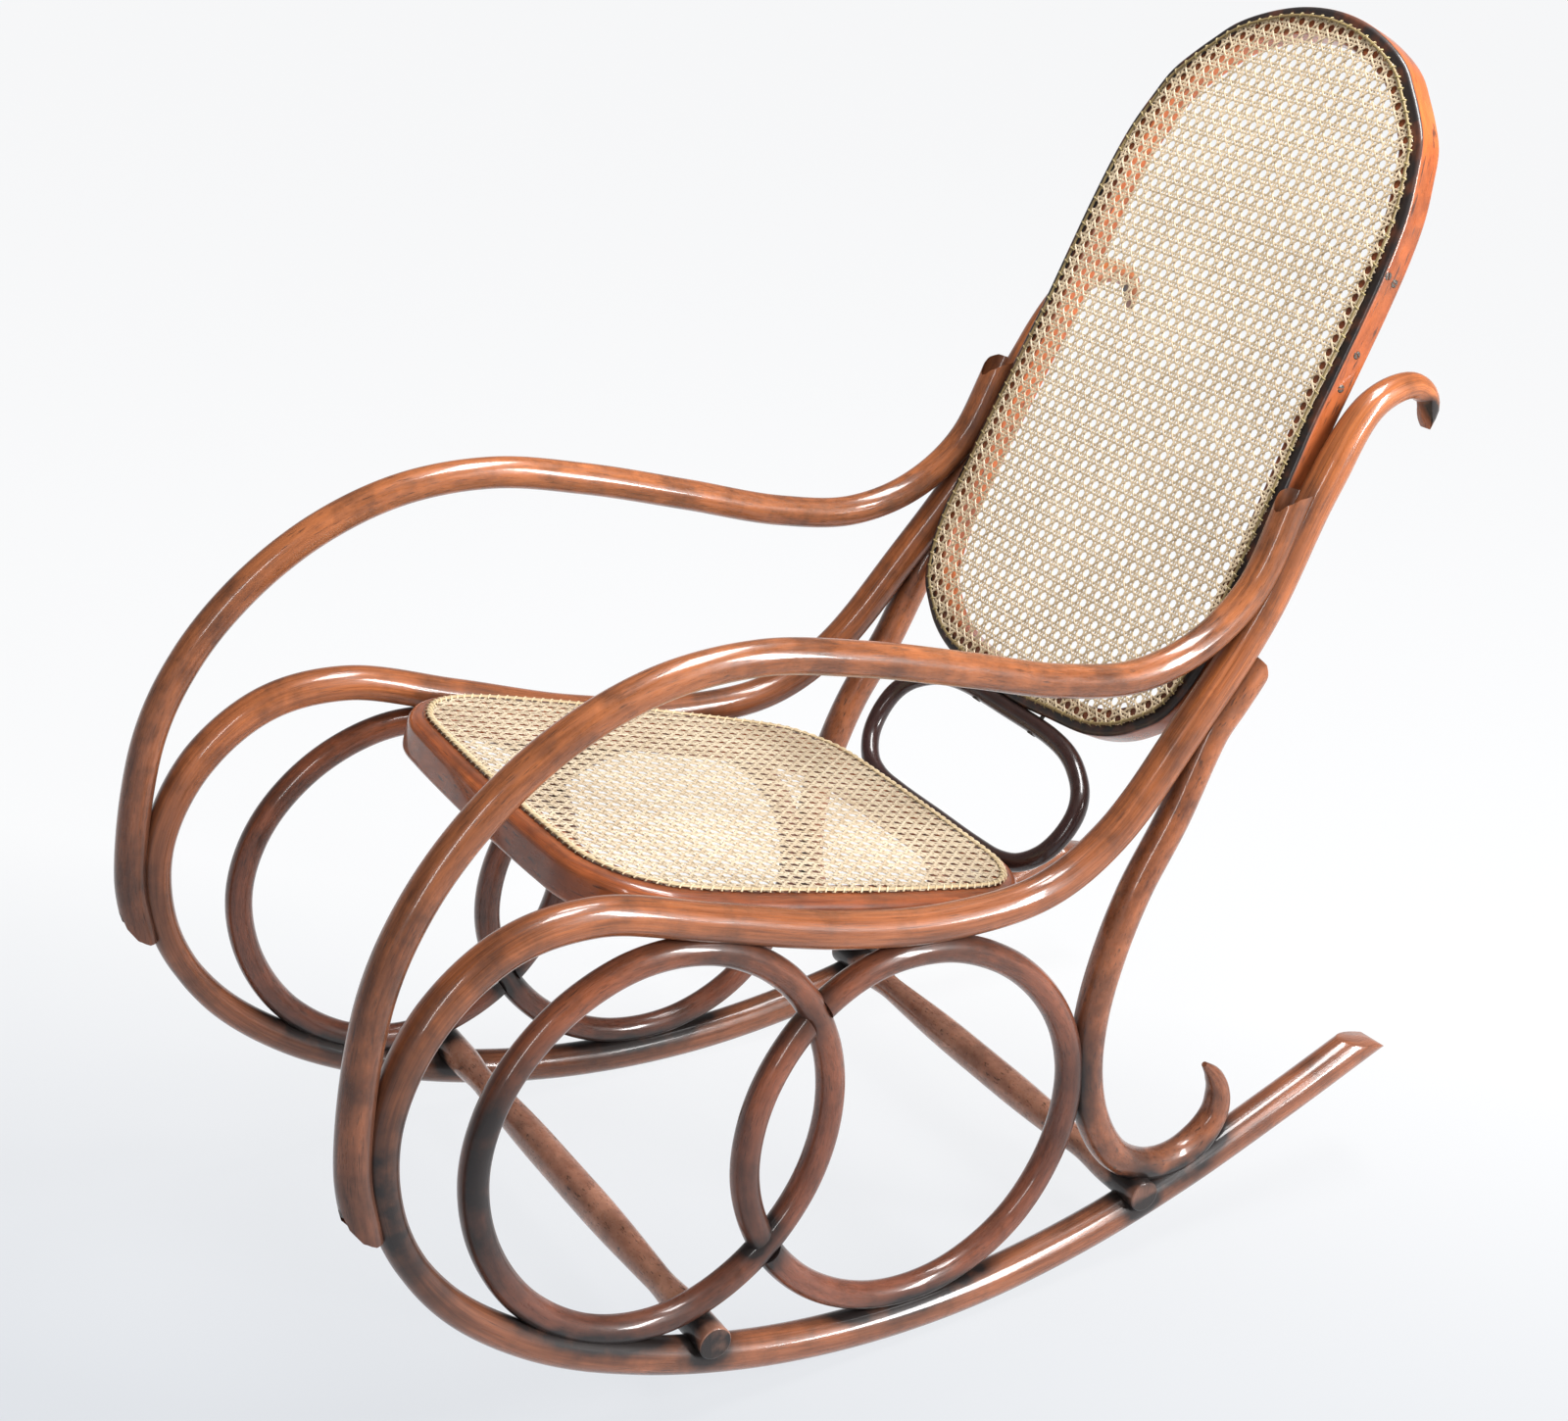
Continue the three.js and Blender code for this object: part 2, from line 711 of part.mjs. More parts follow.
function ovalSolid(grow) {
  const points = walk(ovalOutline, railStep, turnStep).map((point) => ovalPlane.point(point.x, point.y, 0));
  return solidOf(sweep(points, ovalPlane.normal, round(() => ovalRadius + grow, rodSides), true));
}

// Slotless screw blanks: a low round head on a plain shank.
function screwSolid(head, direction, length, headDiameter, grow) {
  const rim = headDiameter / 2 + grow;
  const shank = screwShankDiameter / 2 + grow;
  const top = grow > 0 ? overrun / 2 : 0;
  const profile = [
    [0, -length - grow],
    [shank, -length - grow],
    [shank, -screwHeadHeight - grow],
    [rim, -screwHeadHeight - grow],
    [rim, top],
    [0, top],
  ];
  const geometry = lathe(profile, rodSides - 2);
  const upright = new THREE.Vector3(0, 1, 0);
  const outwards = direction.clone().negate();
  geometry.applyQuaternion(new THREE.Quaternion().setFromUnitVectors(upright, outwards));
  geometry.translate(head.x, head.y, head.z);
  return solidOf(geometry);
}

// Arm screws: driven from the front of the arm into the bow.
const armSeatLength = armCurve.getLength();
function armScrew(distance, grow) {
  const share = distance / armSeatLength;
  const point = armCurve.getPointAt(share);
  const tangent = armCurve.getTangentAt(share);
  const into = new THREE.Vector3(0, tangent.z, -tangent.y).normalize();
  const centre = new THREE.Vector3(sideX(point.y, point.z), point.y, point.z);
  const head = centre.addScaledVector(into, -armRadius - screwProud + screwSink);
  return screwSolid(head, into, armScrewLength, screwHeadDiameter, grow);
}
const armScrewPlaces = [armScrewLow, armScrewLow + armScrewPitch];

// Back screws: driven into the side of the bent frame where its two ends are spliced.
function backEdge(share) {
  const target = share * backHeight;
  const points = backOutline.getSpacedPoints(pathCount).filter((point) => point.x > backWidth / 4);
  return points.reduce((best, point) => (
    Math.abs(point.y - target) < Math.abs(best.y - target) ? point : best
  ));
}
function backScrew(number, grow) {
  const edge = backEdge(backScrewShares[number]);
  const depth = backRimDepth * backScrewDepthShares[number];
  const head = backPlane.point(edge.x + backRimRound + screwProud, edge.y, -depth);
  return screwSolid(head, new THREE.Vector3(-1, 0, 0), backScrewLength, backScrewHeadDiameter, grow);
}

// Oval screws: driven up through the top of the oval into the foot of the back frame.
function ovalScrew(side, grow) {
  const x = (side * ovalScrewSpread) / 2;
  const head = ovalPlane.point(x, ovalHeight - ovalRadius - screwProud, 0);
  return screwSolid(head, ovalPlane.up, ovalScrewLength, ovalDiameter / 2, grow);
}

// Cutters.
const railCut = railSolid(clearance);
const railCuts = [railCut, mirrored(railCut)];
const stretcherCuts = [
  stretcherSolid(frontStretcherY, frontStretcherZ, clearance),
  stretcherSolid(rearStretcherY, rearStretcherZ, clearance),
];
const armScrewCuts = armScrewPlaces.map((place) => armScrew(place, clearance));
const backScrewCuts = backScrewShares.map((share, number) => backScrew(number, clearance));
const ovalScrewCuts = [ovalScrew(1, clearance), ovalScrew(-1, clearance)];
const outside = halfSpace(1);
const inside = halfSpace(-1);

function cut(solid, cutters) {
  return cutters.reduce((left, cutter) => left.subtract(cutter), solid);
}

const rail = cut(railSolid(0), [...stretcherCuts, ...armScrewCuts]);
const frontRing = cut(ringSolid(frontRingCurve, 0), [
  railCut, ...stretcherCuts, ringSolid(rearRingCurve, clearance).intersect(inside),
]);
const rearRing = cut(ringSolid(rearRingCurve, 0), [
  railCut, ...stretcherCuts, ringSolid(frontRingCurve, clearance).intersect(outside),
]);
const leg = cut(legSolid(0), [railCut, stretcherCuts[1], ringSolid(rearRingCurve, clearance)]);
const seatFrame = cut(loop(seatOutline, seatPlane, seatRim, outlineStep, outlineTurn), railCuts);
const backFrameBare = cut(loop(backOutline, backPlane, backRim, outlineStep, outlineTurn), railCuts);
const grownRim = (section) => section.map(([up, out]) => {
  const middle = section.reduce((sum, [, value]) => sum + value, 0) / section.length;
  return [up < -clearance ? up - clearance : up + clearance, out + (out > middle ? clearance : -clearance)];
});
const seatFrameCut = loop(seatOutline, seatPlane, grownRim(seatRim), outlineStep, outlineTurn);
const backFrameCut = loop(backOutline, backPlane, grownRim(backRim), outlineStep, outlineTurn);
const arm = cut(armSolid(0), [railCut, backFrameCut, ...armScrewCuts]);
const oval = cut(ovalSolid(0), [seatFrameCut, backFrameCut, ...ovalScrewCuts]);
const backFrame = cut(backFrameBare, [...backScrewCuts, ...ovalScrewCuts]);

const seatInside = seatRimWidth - seatRimRound;
const backInside = backRimWidth - backRimRound;
const seatCane = caneSolid(seatOutline, seatPlane, seatInside, seatGapPitch, seatGapSize, seatDepth);
const backCane = caneSolid(backOutline, backPlane, backInside, backGapPitch, backGapSize, backHeight);

const pieces = [
  ['side_rail', rail, beech, true],
  ['arm', arm, beech, true],
  ['rear_leg', leg, beech, true],
  ['front_ring', frontRing, darkBeech, true],
  ['rear_ring', rearRing, darkBeech, true],
  ['front_stretcher', stretcherSolid(frontStretcherY, frontStretcherZ, 0), beech, false],
  ['rear_stretcher', stretcherSolid(rearStretcherY, rearStretcherZ, 0), beech, false],
  ['seat_frame', seatFrame, beech, false],
  ['seat_cane', seatCane, straw, false],
  ['seat_binding', binderSolid(seatOutline, seatPlane), straw, false],
  ['back_frame', backFrame, beech, false],
  ['back_cane', backCane, straw, false],
  ['back_binding', binderSolid(backOutline, backPlane), straw, false],
  ['oval_ring', oval, darkBeech, false],
  ['arm_screw_lower', armScrew(armScrewPlaces[0], 0), iron, true],
  ['arm_screw_upper', armScrew(armScrewPlaces[1], 0), iron, true],
  ['back_screw_1', backScrew(0, 0), iron, false],
  ['back_screw_2', backScrew(1, 0), iron, false],
  ['back_screw_3', backScrew(2, 0), iron, false],
  ['back_screw_4', backScrew(3, 0), iron, false],
  ['oval_screw_left', ovalScrew(1, 0), iron, false],
  ['oval_screw_right', ovalScrew(-1, 0), iron, false],
];

const frame = new THREE.Group();

function addPiece(name, solid, finish) {
  const mesh = new THREE.Mesh(geometryOf(solid), new THREE.MeshStandardMaterial(finish));
  mesh.name = name;
  frame.add(mesh);
}

for (const [name, solid, finish, paired] of pieces) {
  if (paired) {
    addPiece(`${name}_left`, solid, finish);
    addPiece(`${name}_right`, mirrored(solid), finish);
  } else {
    addPiece(name, solid, finish);
  }
}

// The chair stands on the facet of its rockers that lies under its weight, so its lean at
// rest is that facet's. Its origin is on the floor under its middle.
const rockerPoints = inSidePlane(walk(railCurve, railStep, turnStep));
const restNumber = rockerPoints.findIndex((point) => point.y < balanceBack);
const restAhead = rockerPoints[restNumber];
const restBehind = rockerPoints[restNumber - 1];
const restLean = Math.atan2(restBehind.z - restAhead.z, restBehind.y - restAhead.y);
const chair = new THREE.Group();
frame.rotation.x = -restLean;
chair.add(frame);
chair.updateMatrixWorld(true);
const box = new THREE.Box3();
frame.traverse((piece) => {
  if (piece.isMesh) box.union(new THREE.Box3().setFromObject(piece, true));
});
frame.position.set(0, -(box.min.y + box.max.y) / 2, -box.min.z);

export default chair;
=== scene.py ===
import math
import bpy
from mathutils import Matrix, Vector
from mathutils.bvhtree import BVHTree


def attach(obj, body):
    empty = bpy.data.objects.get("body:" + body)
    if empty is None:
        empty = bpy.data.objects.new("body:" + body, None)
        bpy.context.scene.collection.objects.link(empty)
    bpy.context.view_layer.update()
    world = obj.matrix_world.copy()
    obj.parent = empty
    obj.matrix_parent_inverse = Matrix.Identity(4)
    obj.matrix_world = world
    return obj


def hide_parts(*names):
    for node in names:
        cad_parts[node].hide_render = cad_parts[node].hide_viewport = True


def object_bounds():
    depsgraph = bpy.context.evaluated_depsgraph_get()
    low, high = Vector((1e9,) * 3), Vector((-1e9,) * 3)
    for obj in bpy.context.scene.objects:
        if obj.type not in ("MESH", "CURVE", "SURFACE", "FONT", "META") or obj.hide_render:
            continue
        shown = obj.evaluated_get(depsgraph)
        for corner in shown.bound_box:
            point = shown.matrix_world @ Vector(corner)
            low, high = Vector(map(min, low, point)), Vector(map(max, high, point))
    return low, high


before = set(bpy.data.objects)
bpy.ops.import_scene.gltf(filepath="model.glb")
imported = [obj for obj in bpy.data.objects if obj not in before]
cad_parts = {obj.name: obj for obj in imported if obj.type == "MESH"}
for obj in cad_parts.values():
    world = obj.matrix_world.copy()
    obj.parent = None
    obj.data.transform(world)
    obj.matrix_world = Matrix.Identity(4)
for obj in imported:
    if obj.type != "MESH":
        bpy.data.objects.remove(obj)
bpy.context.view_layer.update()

body = "root"


# placing: drawings are in millimetres, in a side or panel plane, and end up in the CAD frame

chairPlace = {
    "lean": 0.0215187,              # how far the side frames tip back onto their resting flat
    "move": (0.0, -15.2177, 4.6055),
    "sideOut": 241.5,               # rail centre from the middle, at the frame's own origin
    "toe": 0.0342,                  # the sides close in towards the back
    "sideLean": 0.0266,             # and towards the top
}


def chairMatrix():
    turn = Matrix.Rotation(chairPlace["lean"], 4, "X")
    return Matrix.Scale(0.001, 4) @ Matrix.Translation(chairPlace["move"]) @ turn


def sideMatrix():
    # drawing x runs to the back, drawing y up, drawing z outwards
    p = chairPlace
    out = Vector((1, p["toe"], p["sideLean"])).normalized()
    return chairMatrix() @ Matrix((
        (-p["toe"], -p["sideLean"], out.x, p["sideOut"]),
        (1, 0, out.y, 0),
        (0, 1, out.z, 0),
        (0, 0, 0, 1),
    ))


def panelMatrix(y, z, rise):
    # drawing x to the sitter's left, drawing y up the panel, drawing z towards the sitter
    r = math.radians(rise)
    return chairMatrix() @ Matrix((
        (1, 0, 0, 0),
        (0, math.cos(r), -math.sin(r), y),
        (0, math.sin(r), math.cos(r), z),
        (0, 0, 0, 1),
    ))


def smoothPath(points, closed, step):
    # a smooth line through the points, then evenly spaced places on it
    pts = [Vector((p[0], p[1], 0.0)) for p in points]
    n = len(pts)
    fine = []
    parts = 40                      # places on the line from one point to the next
    spans = n if closed else n - 1
    for i in range(spans):
        p1, p2 = pts[i], pts[(i + 1) % n]
        p0 = pts[i - 1] if (closed or i > 0) else p1 * 2 - p2
        p3 = pts[(i + 2) % n] if (closed or i + 2 < n) else p2 * 2 - p1
        d0 = max((p1 - p0).length ** 0.5, 1e-4)
        d1 = max((p2 - p1).length ** 0.5, 1e-4)
        d2 = max((p3 - p2).length ** 0.5, 1e-4)
        t1 = ((p1 - p0) / d0 - (p2 - p0) / (d0 + d1) + (p2 - p1) / d1) * d1
        t2 = ((p2 - p1) / d1 - (p3 - p1) / (d1 + d2) + (p3 - p2) / d2) * d1
        for k in range(parts):
            t = k / parts
            c2 = p1 * -3 + p2 * 3 - t1 * 2 - t2
            c3 = p1 * 2 - p2 * 2 + t1 + t2
            fine.append(p1 + t1 * t + c2 * t * t + c3 * t * t * t)
    fine.append(pts[0].copy() if closed else pts[-1].copy())
    lengths = [0.0]
    for a, b in zip(fine, fine[1:]):
        lengths.append(lengths[-1] + (b - a).length)
    count = max(2, round(lengths[-1] / step))
    path, j = [], 0
    for k in range(count + (0 if closed else 1)):
        goal = lengths[-1] * k / count
        while j < len(fine) - 2 and lengths[j + 1] < goal:
            j += 1
        span = max(lengths[j + 1] - lengths[j], 1e-9)
        path.append(fine[j].lerp(fine[j + 1], (goal - lengths[j]) / span))
    return path, lengths[-1]


# modelling helpers

def deselectAll():
    if bpy.context.object and bpy.context.object.mode != "OBJECT":
        bpy.ops.object.mode_set(mode="OBJECT")
    bpy.ops.object.select_all(action="DESELECT")


def pickOnly(piece):
    deselectAll()
    piece.select_set(True)
    bpy.context.view_layer.objects.active = piece


def pickFaces(piece, test):
    # leaves the piece in edit mode with only the wanted faces selected
    pickOnly(piece)
    bpy.ops.object.mode_set(mode="EDIT")
    bpy.ops.mesh.select_mode(type="FACE")
    bpy.ops.mesh.select_all(action="DESELECT")
    bpy.ops.object.mode_set(mode="OBJECT")
    for face in piece.data.polygons:
        face.select = test(face)
    bpy.ops.object.mode_set(mode="EDIT")


def useModifier(piece, kind, **settings):
    pickOnly(piece)
    modifier = piece.modifiers.new(kind.lower(), kind)
    for key, value in settings.items():
        setattr(modifier, key, value)
    bpy.ops.object.modifier_apply(modifier=modifier.name)


def carve(piece, cutter):
    useModifier(piece, "BOOLEAN", operation="DIFFERENCE", object=cutter, solver="EXACT")
    bpy.data.objects.remove(cutter)


def finishPiece(piece, name, material, nodes, smooth=40):
    piece.name = name
    piece.data.name = name
    piece.data.materials.clear()
    piece.data.materials.append(material)
    pickOnly(piece)
    bpy.ops.object.shade_smooth_by_angle(angle=math.radians(smooth))
    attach(piece, body)
    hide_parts(*nodes)
    return piece


def drawCurve(paths, closed, radii=None, rings=10, section=None):
    # a path primitive whose line is redrawn, given thickness, and made a mesh
    deselectAll()
    bpy.ops.curve.primitive_nurbs_path_add()
    curve = bpy.context.object
    data = curve.data
    data.splines.clear()
    for number, path in enumerate(paths):
        line = data.splines.new("POLY")
        line.points.add(len(path) - 1)
        for k, place in enumerate(path):
            line.points[k].co = (place[0], place[1], place[2], 1.0)
            line.points[k].radius = radii[number][k] if radii else 1.0
        line.use_cyclic_u = closed
    data.dimensions = "3D"
    data.twist_mode = "Z_UP"
    data.use_fill_caps = not closed
    if section:
        data.bevel_mode = "OBJECT"
        data.bevel_object = section
    else:
        data.bevel_depth = 1.0
        data.bevel_resolution = rings
    bpy.ops.object.convert(target="MESH")
    piece = bpy.context.object
    if section:
        bpy.data.objects.remove(section)
    return piece


def sectionCurve(places):
    deselectAll()
    bpy.ops.curve.primitive_nurbs_path_add()
    section = bpy.context.object
    data = section.data
    data.splines.clear()
    data.dimensions = "2D"
    line = data.splines.new("POLY")
    line.points.add(len(places) - 1)
    for k, (x, y) in enumerate(places):
        line.points[k].co = (x, y, 0, 1)
    line.use_cyclic_u = True
    return section


def spreadUv(piece, length):
    # the bevel's own map runs 0 to 1 both ways: along the rod in metres, round it in turns
    layer = piece.data.uv_layers[0]
    layer.name = "grainMap"
    for corner in layer.data:
        corner.uv = (corner.uv[1] * length * 0.001, corner.uv[0])


def mirrorCopy(piece, name):
    # the other side: a copy with its own mesh, turned over and its faces turned out again
    deselectAll()
    other = piece.copy()
    other.data = piece.data.copy()
    bpy.context.scene.collection.objects.link(other)
    for key in list(other.keys()):
        del other[key]
    other.parent = None
    other.data.transform(Matrix.Scale(-1, 4, (1, 0, 0)))
    pickOnly(other)
    bpy.ops.object.mode_set(mode="EDIT")
    bpy.ops.mesh.select_all(action="SELECT")
    bpy.ops.mesh.flip_normals()
    bpy.ops.object.mode_set(mode="OBJECT")
    other.name = name
    other.data.name = name
    return other


def faceOutwards(piece):
    pickOnly(piece)
    bpy.ops.object.mode_set(mode="EDIT")
    bpy.ops.mesh.select_all(action="SELECT")
    bpy.ops.mesh.normals_make_consistent(inside=False)
    bpy.ops.object.mode_set(mode="OBJECT")


def settle(piece, matrix):
    piece.data.transform(matrix)
    piece.data.update()


def pointValues(piece, name, values=None):
    # a value on each point of a piece, read or written
    layer = piece.data.attributes.get(name) or piece.data.attributes.new(name, "FLOAT", "POINT")
    if values is None:
        values = [0.0] * len(piece.data.vertices)
        layer.data.foreach_get("value", values)
    else:
        layer.data.foreach_set("value", values)
    return values


# finishes

polish = {
    # a noise's scale, detail and roughness, the part of it that is used, and the tones it gives
    "streak": ((5.0, 7.0, 0.62), (0.34, 0.66, 0.0, 0.42)),
    "band": ((1.5, 3.0), (0.34, 0.66, 0.0, 0.30)),
    "broad": ((6.0, 3.0), (0.36, 0.64, 0.0, 0.28)),
    "fleck": ((13.0, 2.0), (0.61, 0.70, 0.0, 0.85)),
    "blot": ((17.0, 6.0, 0.66), (0.47, 0.70)),
    "smudge": ((42.0, 4.0), (0.30, 0.65, 0.62, 1.0)),
    "scuff": ((9.0, 5.0, 0.7), (0.42, 0.72, 0.0, 0.20)),
    "ripple": (150.0, 3.0),
    "longways": (3.0, 8.0),         # how closely streaks and flecks follow each other along a rod
    "fleckTone": (0.05, 0.025, 0.018, 1), "blotTone": (0.040, 0.020, 0.014, 1),
    "dirtAndShadeTone": (0.016, 0.011, 0.010, 1),
    "dirtAndShade": 1.25,                  # over 1, so that only the faintest painted shade and dirt let the wood through
    "lowTint": (0.66, 0.70, 0.92, 1), "highTint": (1.0, 0.92, 0.78, 1),
    "tintHeights": (0.22, 0.62),    # painted shade: the wood is darker and bluer near the floor, and painted light makes it warmer higher up
    "rough": (0.24, 0.42),          # clean, and under the painted shade and dirt
    "streakHeight": 0.5, "rippleHeight": 0.30, "bump": 0.16, "bumpDeep": 0.0006,
    "coat": 0.5, "coatRough": 0.08, "specular": 0.3,
}
caneLook = {
    "broad": (11.0, 4.0), "fine": (260.0, 2.0), "fineShare": 0.25, "tones": (0.5, 1.55),
    "bump": 0.2, "bumpDeep": 0.0002, "rough": 0.42,
}
ironLook = {
    "spots": 900.0, "spotRange": (0.35, 0.7), "dark": (0.035, 0.028, 0.024, 1),
    "light": (0.21, 0.19, 0.17, 1), "metallic": 0.85, "rough": 0.5,
}


def newGroup(name, inputs, outputs):
    # a node group, and its own input and output nodes
    group = bpy.data.node_groups.new(name, "ShaderNodeTree")
    for way, sockets in (("INPUT", inputs), ("OUTPUT", outputs)):
        for socket, kind in sockets.items():
            group.interface.new_socket(name=socket, in_out=way, socket_type="NodeSocket" + kind)
    return group, group.nodes.new("NodeGroupInput"), group.nodes.new("NodeGroupOutput")


def feedNode(tree, node, values):
    # values are sockets to link from, or plain numbers and colours
    for key, value in values.items():
        if isinstance(value, bpy.types.NodeSocket):
            tree.links.new(value, node.inputs[key])
        else:
            node.inputs[key].default_value = value


def addNode(tree, kind, place, values=None, **settings):
    node = tree.nodes.new("ShaderNode" + kind)
    node.location = place
    for key, value in settings.items():
        setattr(node, key, value)
    feedNode(tree, node, values or {})
    return node


def addMath(tree, place, operation, a, b=0.0, clamp=False):
    node = addNode(tree, "Math", place, {0: a, 1: b}, operation=operation, use_clamp=clamp)
    return node.outputs[0]


def addNoise(tree, place, vector, scale, detail=3.0, rough=0.5):
    values = {"Vector": vector, "Scale": scale, "Detail": detail, "Roughness": rough}
    return addNode(tree, "TexNoise", place, values).outputs[0]


def addRange(tree, place, value, low, high, toLow=0.0, toHigh=1.0):
    values = {"Value": value, "From Min": low, "From Max": high, "To Min": toLow, "To Max": toHigh}
    return addNode(tree, "MapRange", place, values).outputs[0]


def addMix(tree, place, amount, first, second, blend="MIX"):
    values = {0: amount, 6: first, 7: second}
    return addNode(tree, "Mix", place, values, data_type="RGBA", blend_type=blend).outputs[2]


def addTone(tree, place, vector, plan):
    # a noise, and the tone that part of its range gives
    noise = addNoise(tree, place, vector, *plan[0])
    return noise, addRange(tree, (place[0] + 220, place[1]), noise, *plan[1])


def buildGrainGroup():
    # stained, polished beech: streaks and short flecks that follow the bend of the rod
    g, start, end = newGroup("bentGrain", {"Light": "Color", "Dark": "Color", "Patina": "Float"},
                             {"Colour": "Color", "Rough": "Float", "Height": "Float"})
    start.location, end.location = (-1600, 0), (1100, 0)

    uv = addNode(g, "UVMap", (-1600, 400), uv_map="grainMap").outputs[0]
    split = addNode(g, "SeparateXYZ", (-1420, 400), {0: uv})
    turn = addMath(g, (-1240, 300), "MULTIPLY", split.outputs[1], math.tau)
    cosine = addMath(g, (-1060, 340), "COSINE", turn)
    sine = addMath(g, (-1060, 200), "SINE", turn)
    loose = addMath(g, (-1060, 520), "MULTIPLY", split.outputs[0], polish["longways"][0])
    close = addMath(g, (-1060, 660), "MULTIPLY", split.outputs[0], polish["longways"][1])
    rod = addNode(g, "CombineXYZ", (-880, 420), {0: loose, 1: cosine, 2: sine}).outputs[0]
    dense = addNode(g, "CombineXYZ", (-880, 600), {0: close, 1: cosine, 2: sine}).outputs[0]
    place = addNode(g, "TexCoord", (-1600, -300)).outputs["Object"]

    streak, tone = addTone(g, (-680, 500), rod, polish["streak"])
    band = addTone(g, (-680, 300), rod, polish["band"])[1]
    broad = addTone(g, (-680, 100), place, polish["broad"])[1]
    tone = addMath(g, (-240, 400), "ADD", tone, band)
    tone = addMath(g, (-60, 400), "ADD", tone, broad)
    colour = addMix(g, (140, 400), tone, start.outputs["Dark"], start.outputs["Light"])

    # painted shade and painted light by height: darker and bluish low down, warmer high up
    level = addNode(g, "SeparateXYZ", (-60, 650), {0: place}).outputs[2]
    heightShading = addMix(g, (140, 650), addRange(g, (-60, 800), level, *polish["tintHeights"]),
                  polish["lowTint"], polish["highTint"])
    colour = addMix(g, (230, 400), 1.0, colour, heightShading, "MULTIPLY")
    fleck = addTone(g, (-680, 700), dense, polish["fleck"])[1]
    colour = addMix(g, (320, 400), fleck, colour, polish["fleckTone"])
    blot = addTone(g, (-680, -100), place, polish["blot"])[1]
    patina = addMath(g, (-240, -100), "MULTIPLY", blot, start.outputs["Patina"], True)
    colour = addMix(g, (500, 400), patina, colour, polish["blotTone"])

    # the values on the points darken the wood towards a near-black tone: painted shade between parts,
    # on the rims' crests, under the cane and on the rods' outward sides, with real dirt in the joints
    # and on the stretchers' end grain
    dirtAndShade = addNode(g, "Attribute", (-680, -500), attribute_name="dirtAndShade").outputs["Fac"]
    smudge = addTone(g, (-680, -350), place, polish["smudge"])[1]
    dirtAndShadeAmount = addMath(g, (-240, -400), "MULTIPLY", dirtAndShade, smudge)
    dirtAndShadeAmount = addMath(g, (-60, -400), "MULTIPLY", dirtAndShadeAmount, polish["dirtAndShade"], True)
    colour = addMix(g, (700, 400), dirtAndShadeAmount, colour, polish["dirtAndShadeTone"])
    g.links.new(colour, end.inputs["Colour"])

    scuff = addTone(g, (280, -100), rod, polish["scuff"])[1]
    sheen = addRange(g, (500, -260), dirtAndShadeAmount, 0.0, 1.0, *polish["rough"])
    rough = addMath(g, (700, -100), "ADD", sheen, scuff)
    g.links.new(rough, end.inputs["Rough"])
    ripple = addNoise(g, (140, -500), place, *polish["ripple"])
    ripple = addMath(g, (320, -500), "MULTIPLY", ripple, polish["rippleHeight"])
    height = addMath(g, (320, -400), "MULTIPLY", streak, polish["streakHeight"])
    height = addMath(g, (500, -450), "ADD", height, ripple)
    height = addMath(g, (700, -450), "SUBTRACT", height, fleck)
    g.links.new(height, end.inputs["Height"])
    return g


def newMaterial(name):
    material = bpy.data.materials.new(name)
    material.use_nodes = True
    tree = material.node_tree
    return material, tree, tree.nodes["Principled BSDF"]


def polishedWood(name, light, dark, patina):
    material, tree, shader = newMaterial(name)
    grain = addNode(tree, "Group", (-500, 0), node_tree=grainGroup)
    feedNode(tree, grain, {"Light": light + (1,), "Dark": dark + (1,), "Patina": patina})
    bump = addNode(tree, "Bump", (-220, -200), {"Strength": polish["bump"],
                                                "Distance": polish["bumpDeep"],
                                                "Height": grain.outputs["Height"]})
    feedNode(tree, shader, {
        "Base Color": grain.outputs["Colour"], "Roughness": grain.outputs["Rough"],
        "Normal": bump.outputs[0], "Coat Weight": polish["coat"],
        "Coat Roughness": polish["coatRough"], "Specular IOR Level": polish["specular"],
    })
    return material


def buildStrawGroup():
    # split cane: glossy skin with fine lengthwise lines and a tone of its own for each strand
    g, start, end = newGroup("caneSkin", {"Pale": "Color", "Deep": "Color"},
                             {"Colour": "Color", "Height": "Float"})
    start.location, end.location = (-900, 0), (700, 0)
    tone = addNode(g, "Attribute", (-900, 300), attribute_name="strandTone").outputs["Fac"]
    place = addNode(g, "TexCoord", (-900, -300)).outputs["Object"]
    broad = addNoise(g, (-600, 0), place, *caneLook["broad"])
    fine = addNoise(g, (-600, -300), place, *caneLook["fine"])
    total = addMath(g, (-300, 150), "ADD", tone, broad)
    lines = addMath(g, (-300, -100), "MULTIPLY", fine, caneLook["fineShare"])
    total = addMath(g, (-100, 150), "ADD", total, lines)
    shade = addMix(g, (260, 150), addRange(g, (60, 150), total, *caneLook["tones"]),
                   start.outputs["Deep"], start.outputs["Pale"])
    g.links.new(shade, end.inputs["Colour"])
    g.links.new(fine, end.inputs["Height"])
    return g


def caneMaterial(name, pale, deep):
    material, tree, shader = newMaterial(name)
    skin = addNode(tree, "Group", (-500, 0), node_tree=strawGroup)
    feedNode(tree, skin, {"Pale": pale + (1,), "Deep": deep + (1,)})
    bump = addNode(tree, "Bump", (-220, -200), {"Strength": caneLook["bump"],
                                                "Distance": caneLook["bumpDeep"],
                                                "Height": skin.outputs["Height"]})
    feedNode(tree, shader, {"Base Color": skin.outputs["Colour"], "Normal": bump.outputs[0],
                            "Roughness": caneLook["rough"]})
    return material


def ironMaterial(name):
    material, tree, shader = newMaterial(name)
    place = addNode(tree, "TexCoord", (-900, 0)).outputs["Object"]
    rust = addNoise(tree, (-700, 100), place, ironLook["spots"])
    rust = addRange(tree, (-480, 100), rust, *ironLook["spotRange"])
    colour = addMix(tree, (-260, 100), rust, ironLook["dark"], ironLook["light"])
    feedNode(tree, shader, {"Base Color": colour, "Metallic": ironLook["metallic"],
                            "Roughness": ironLook["rough"]})
    return material


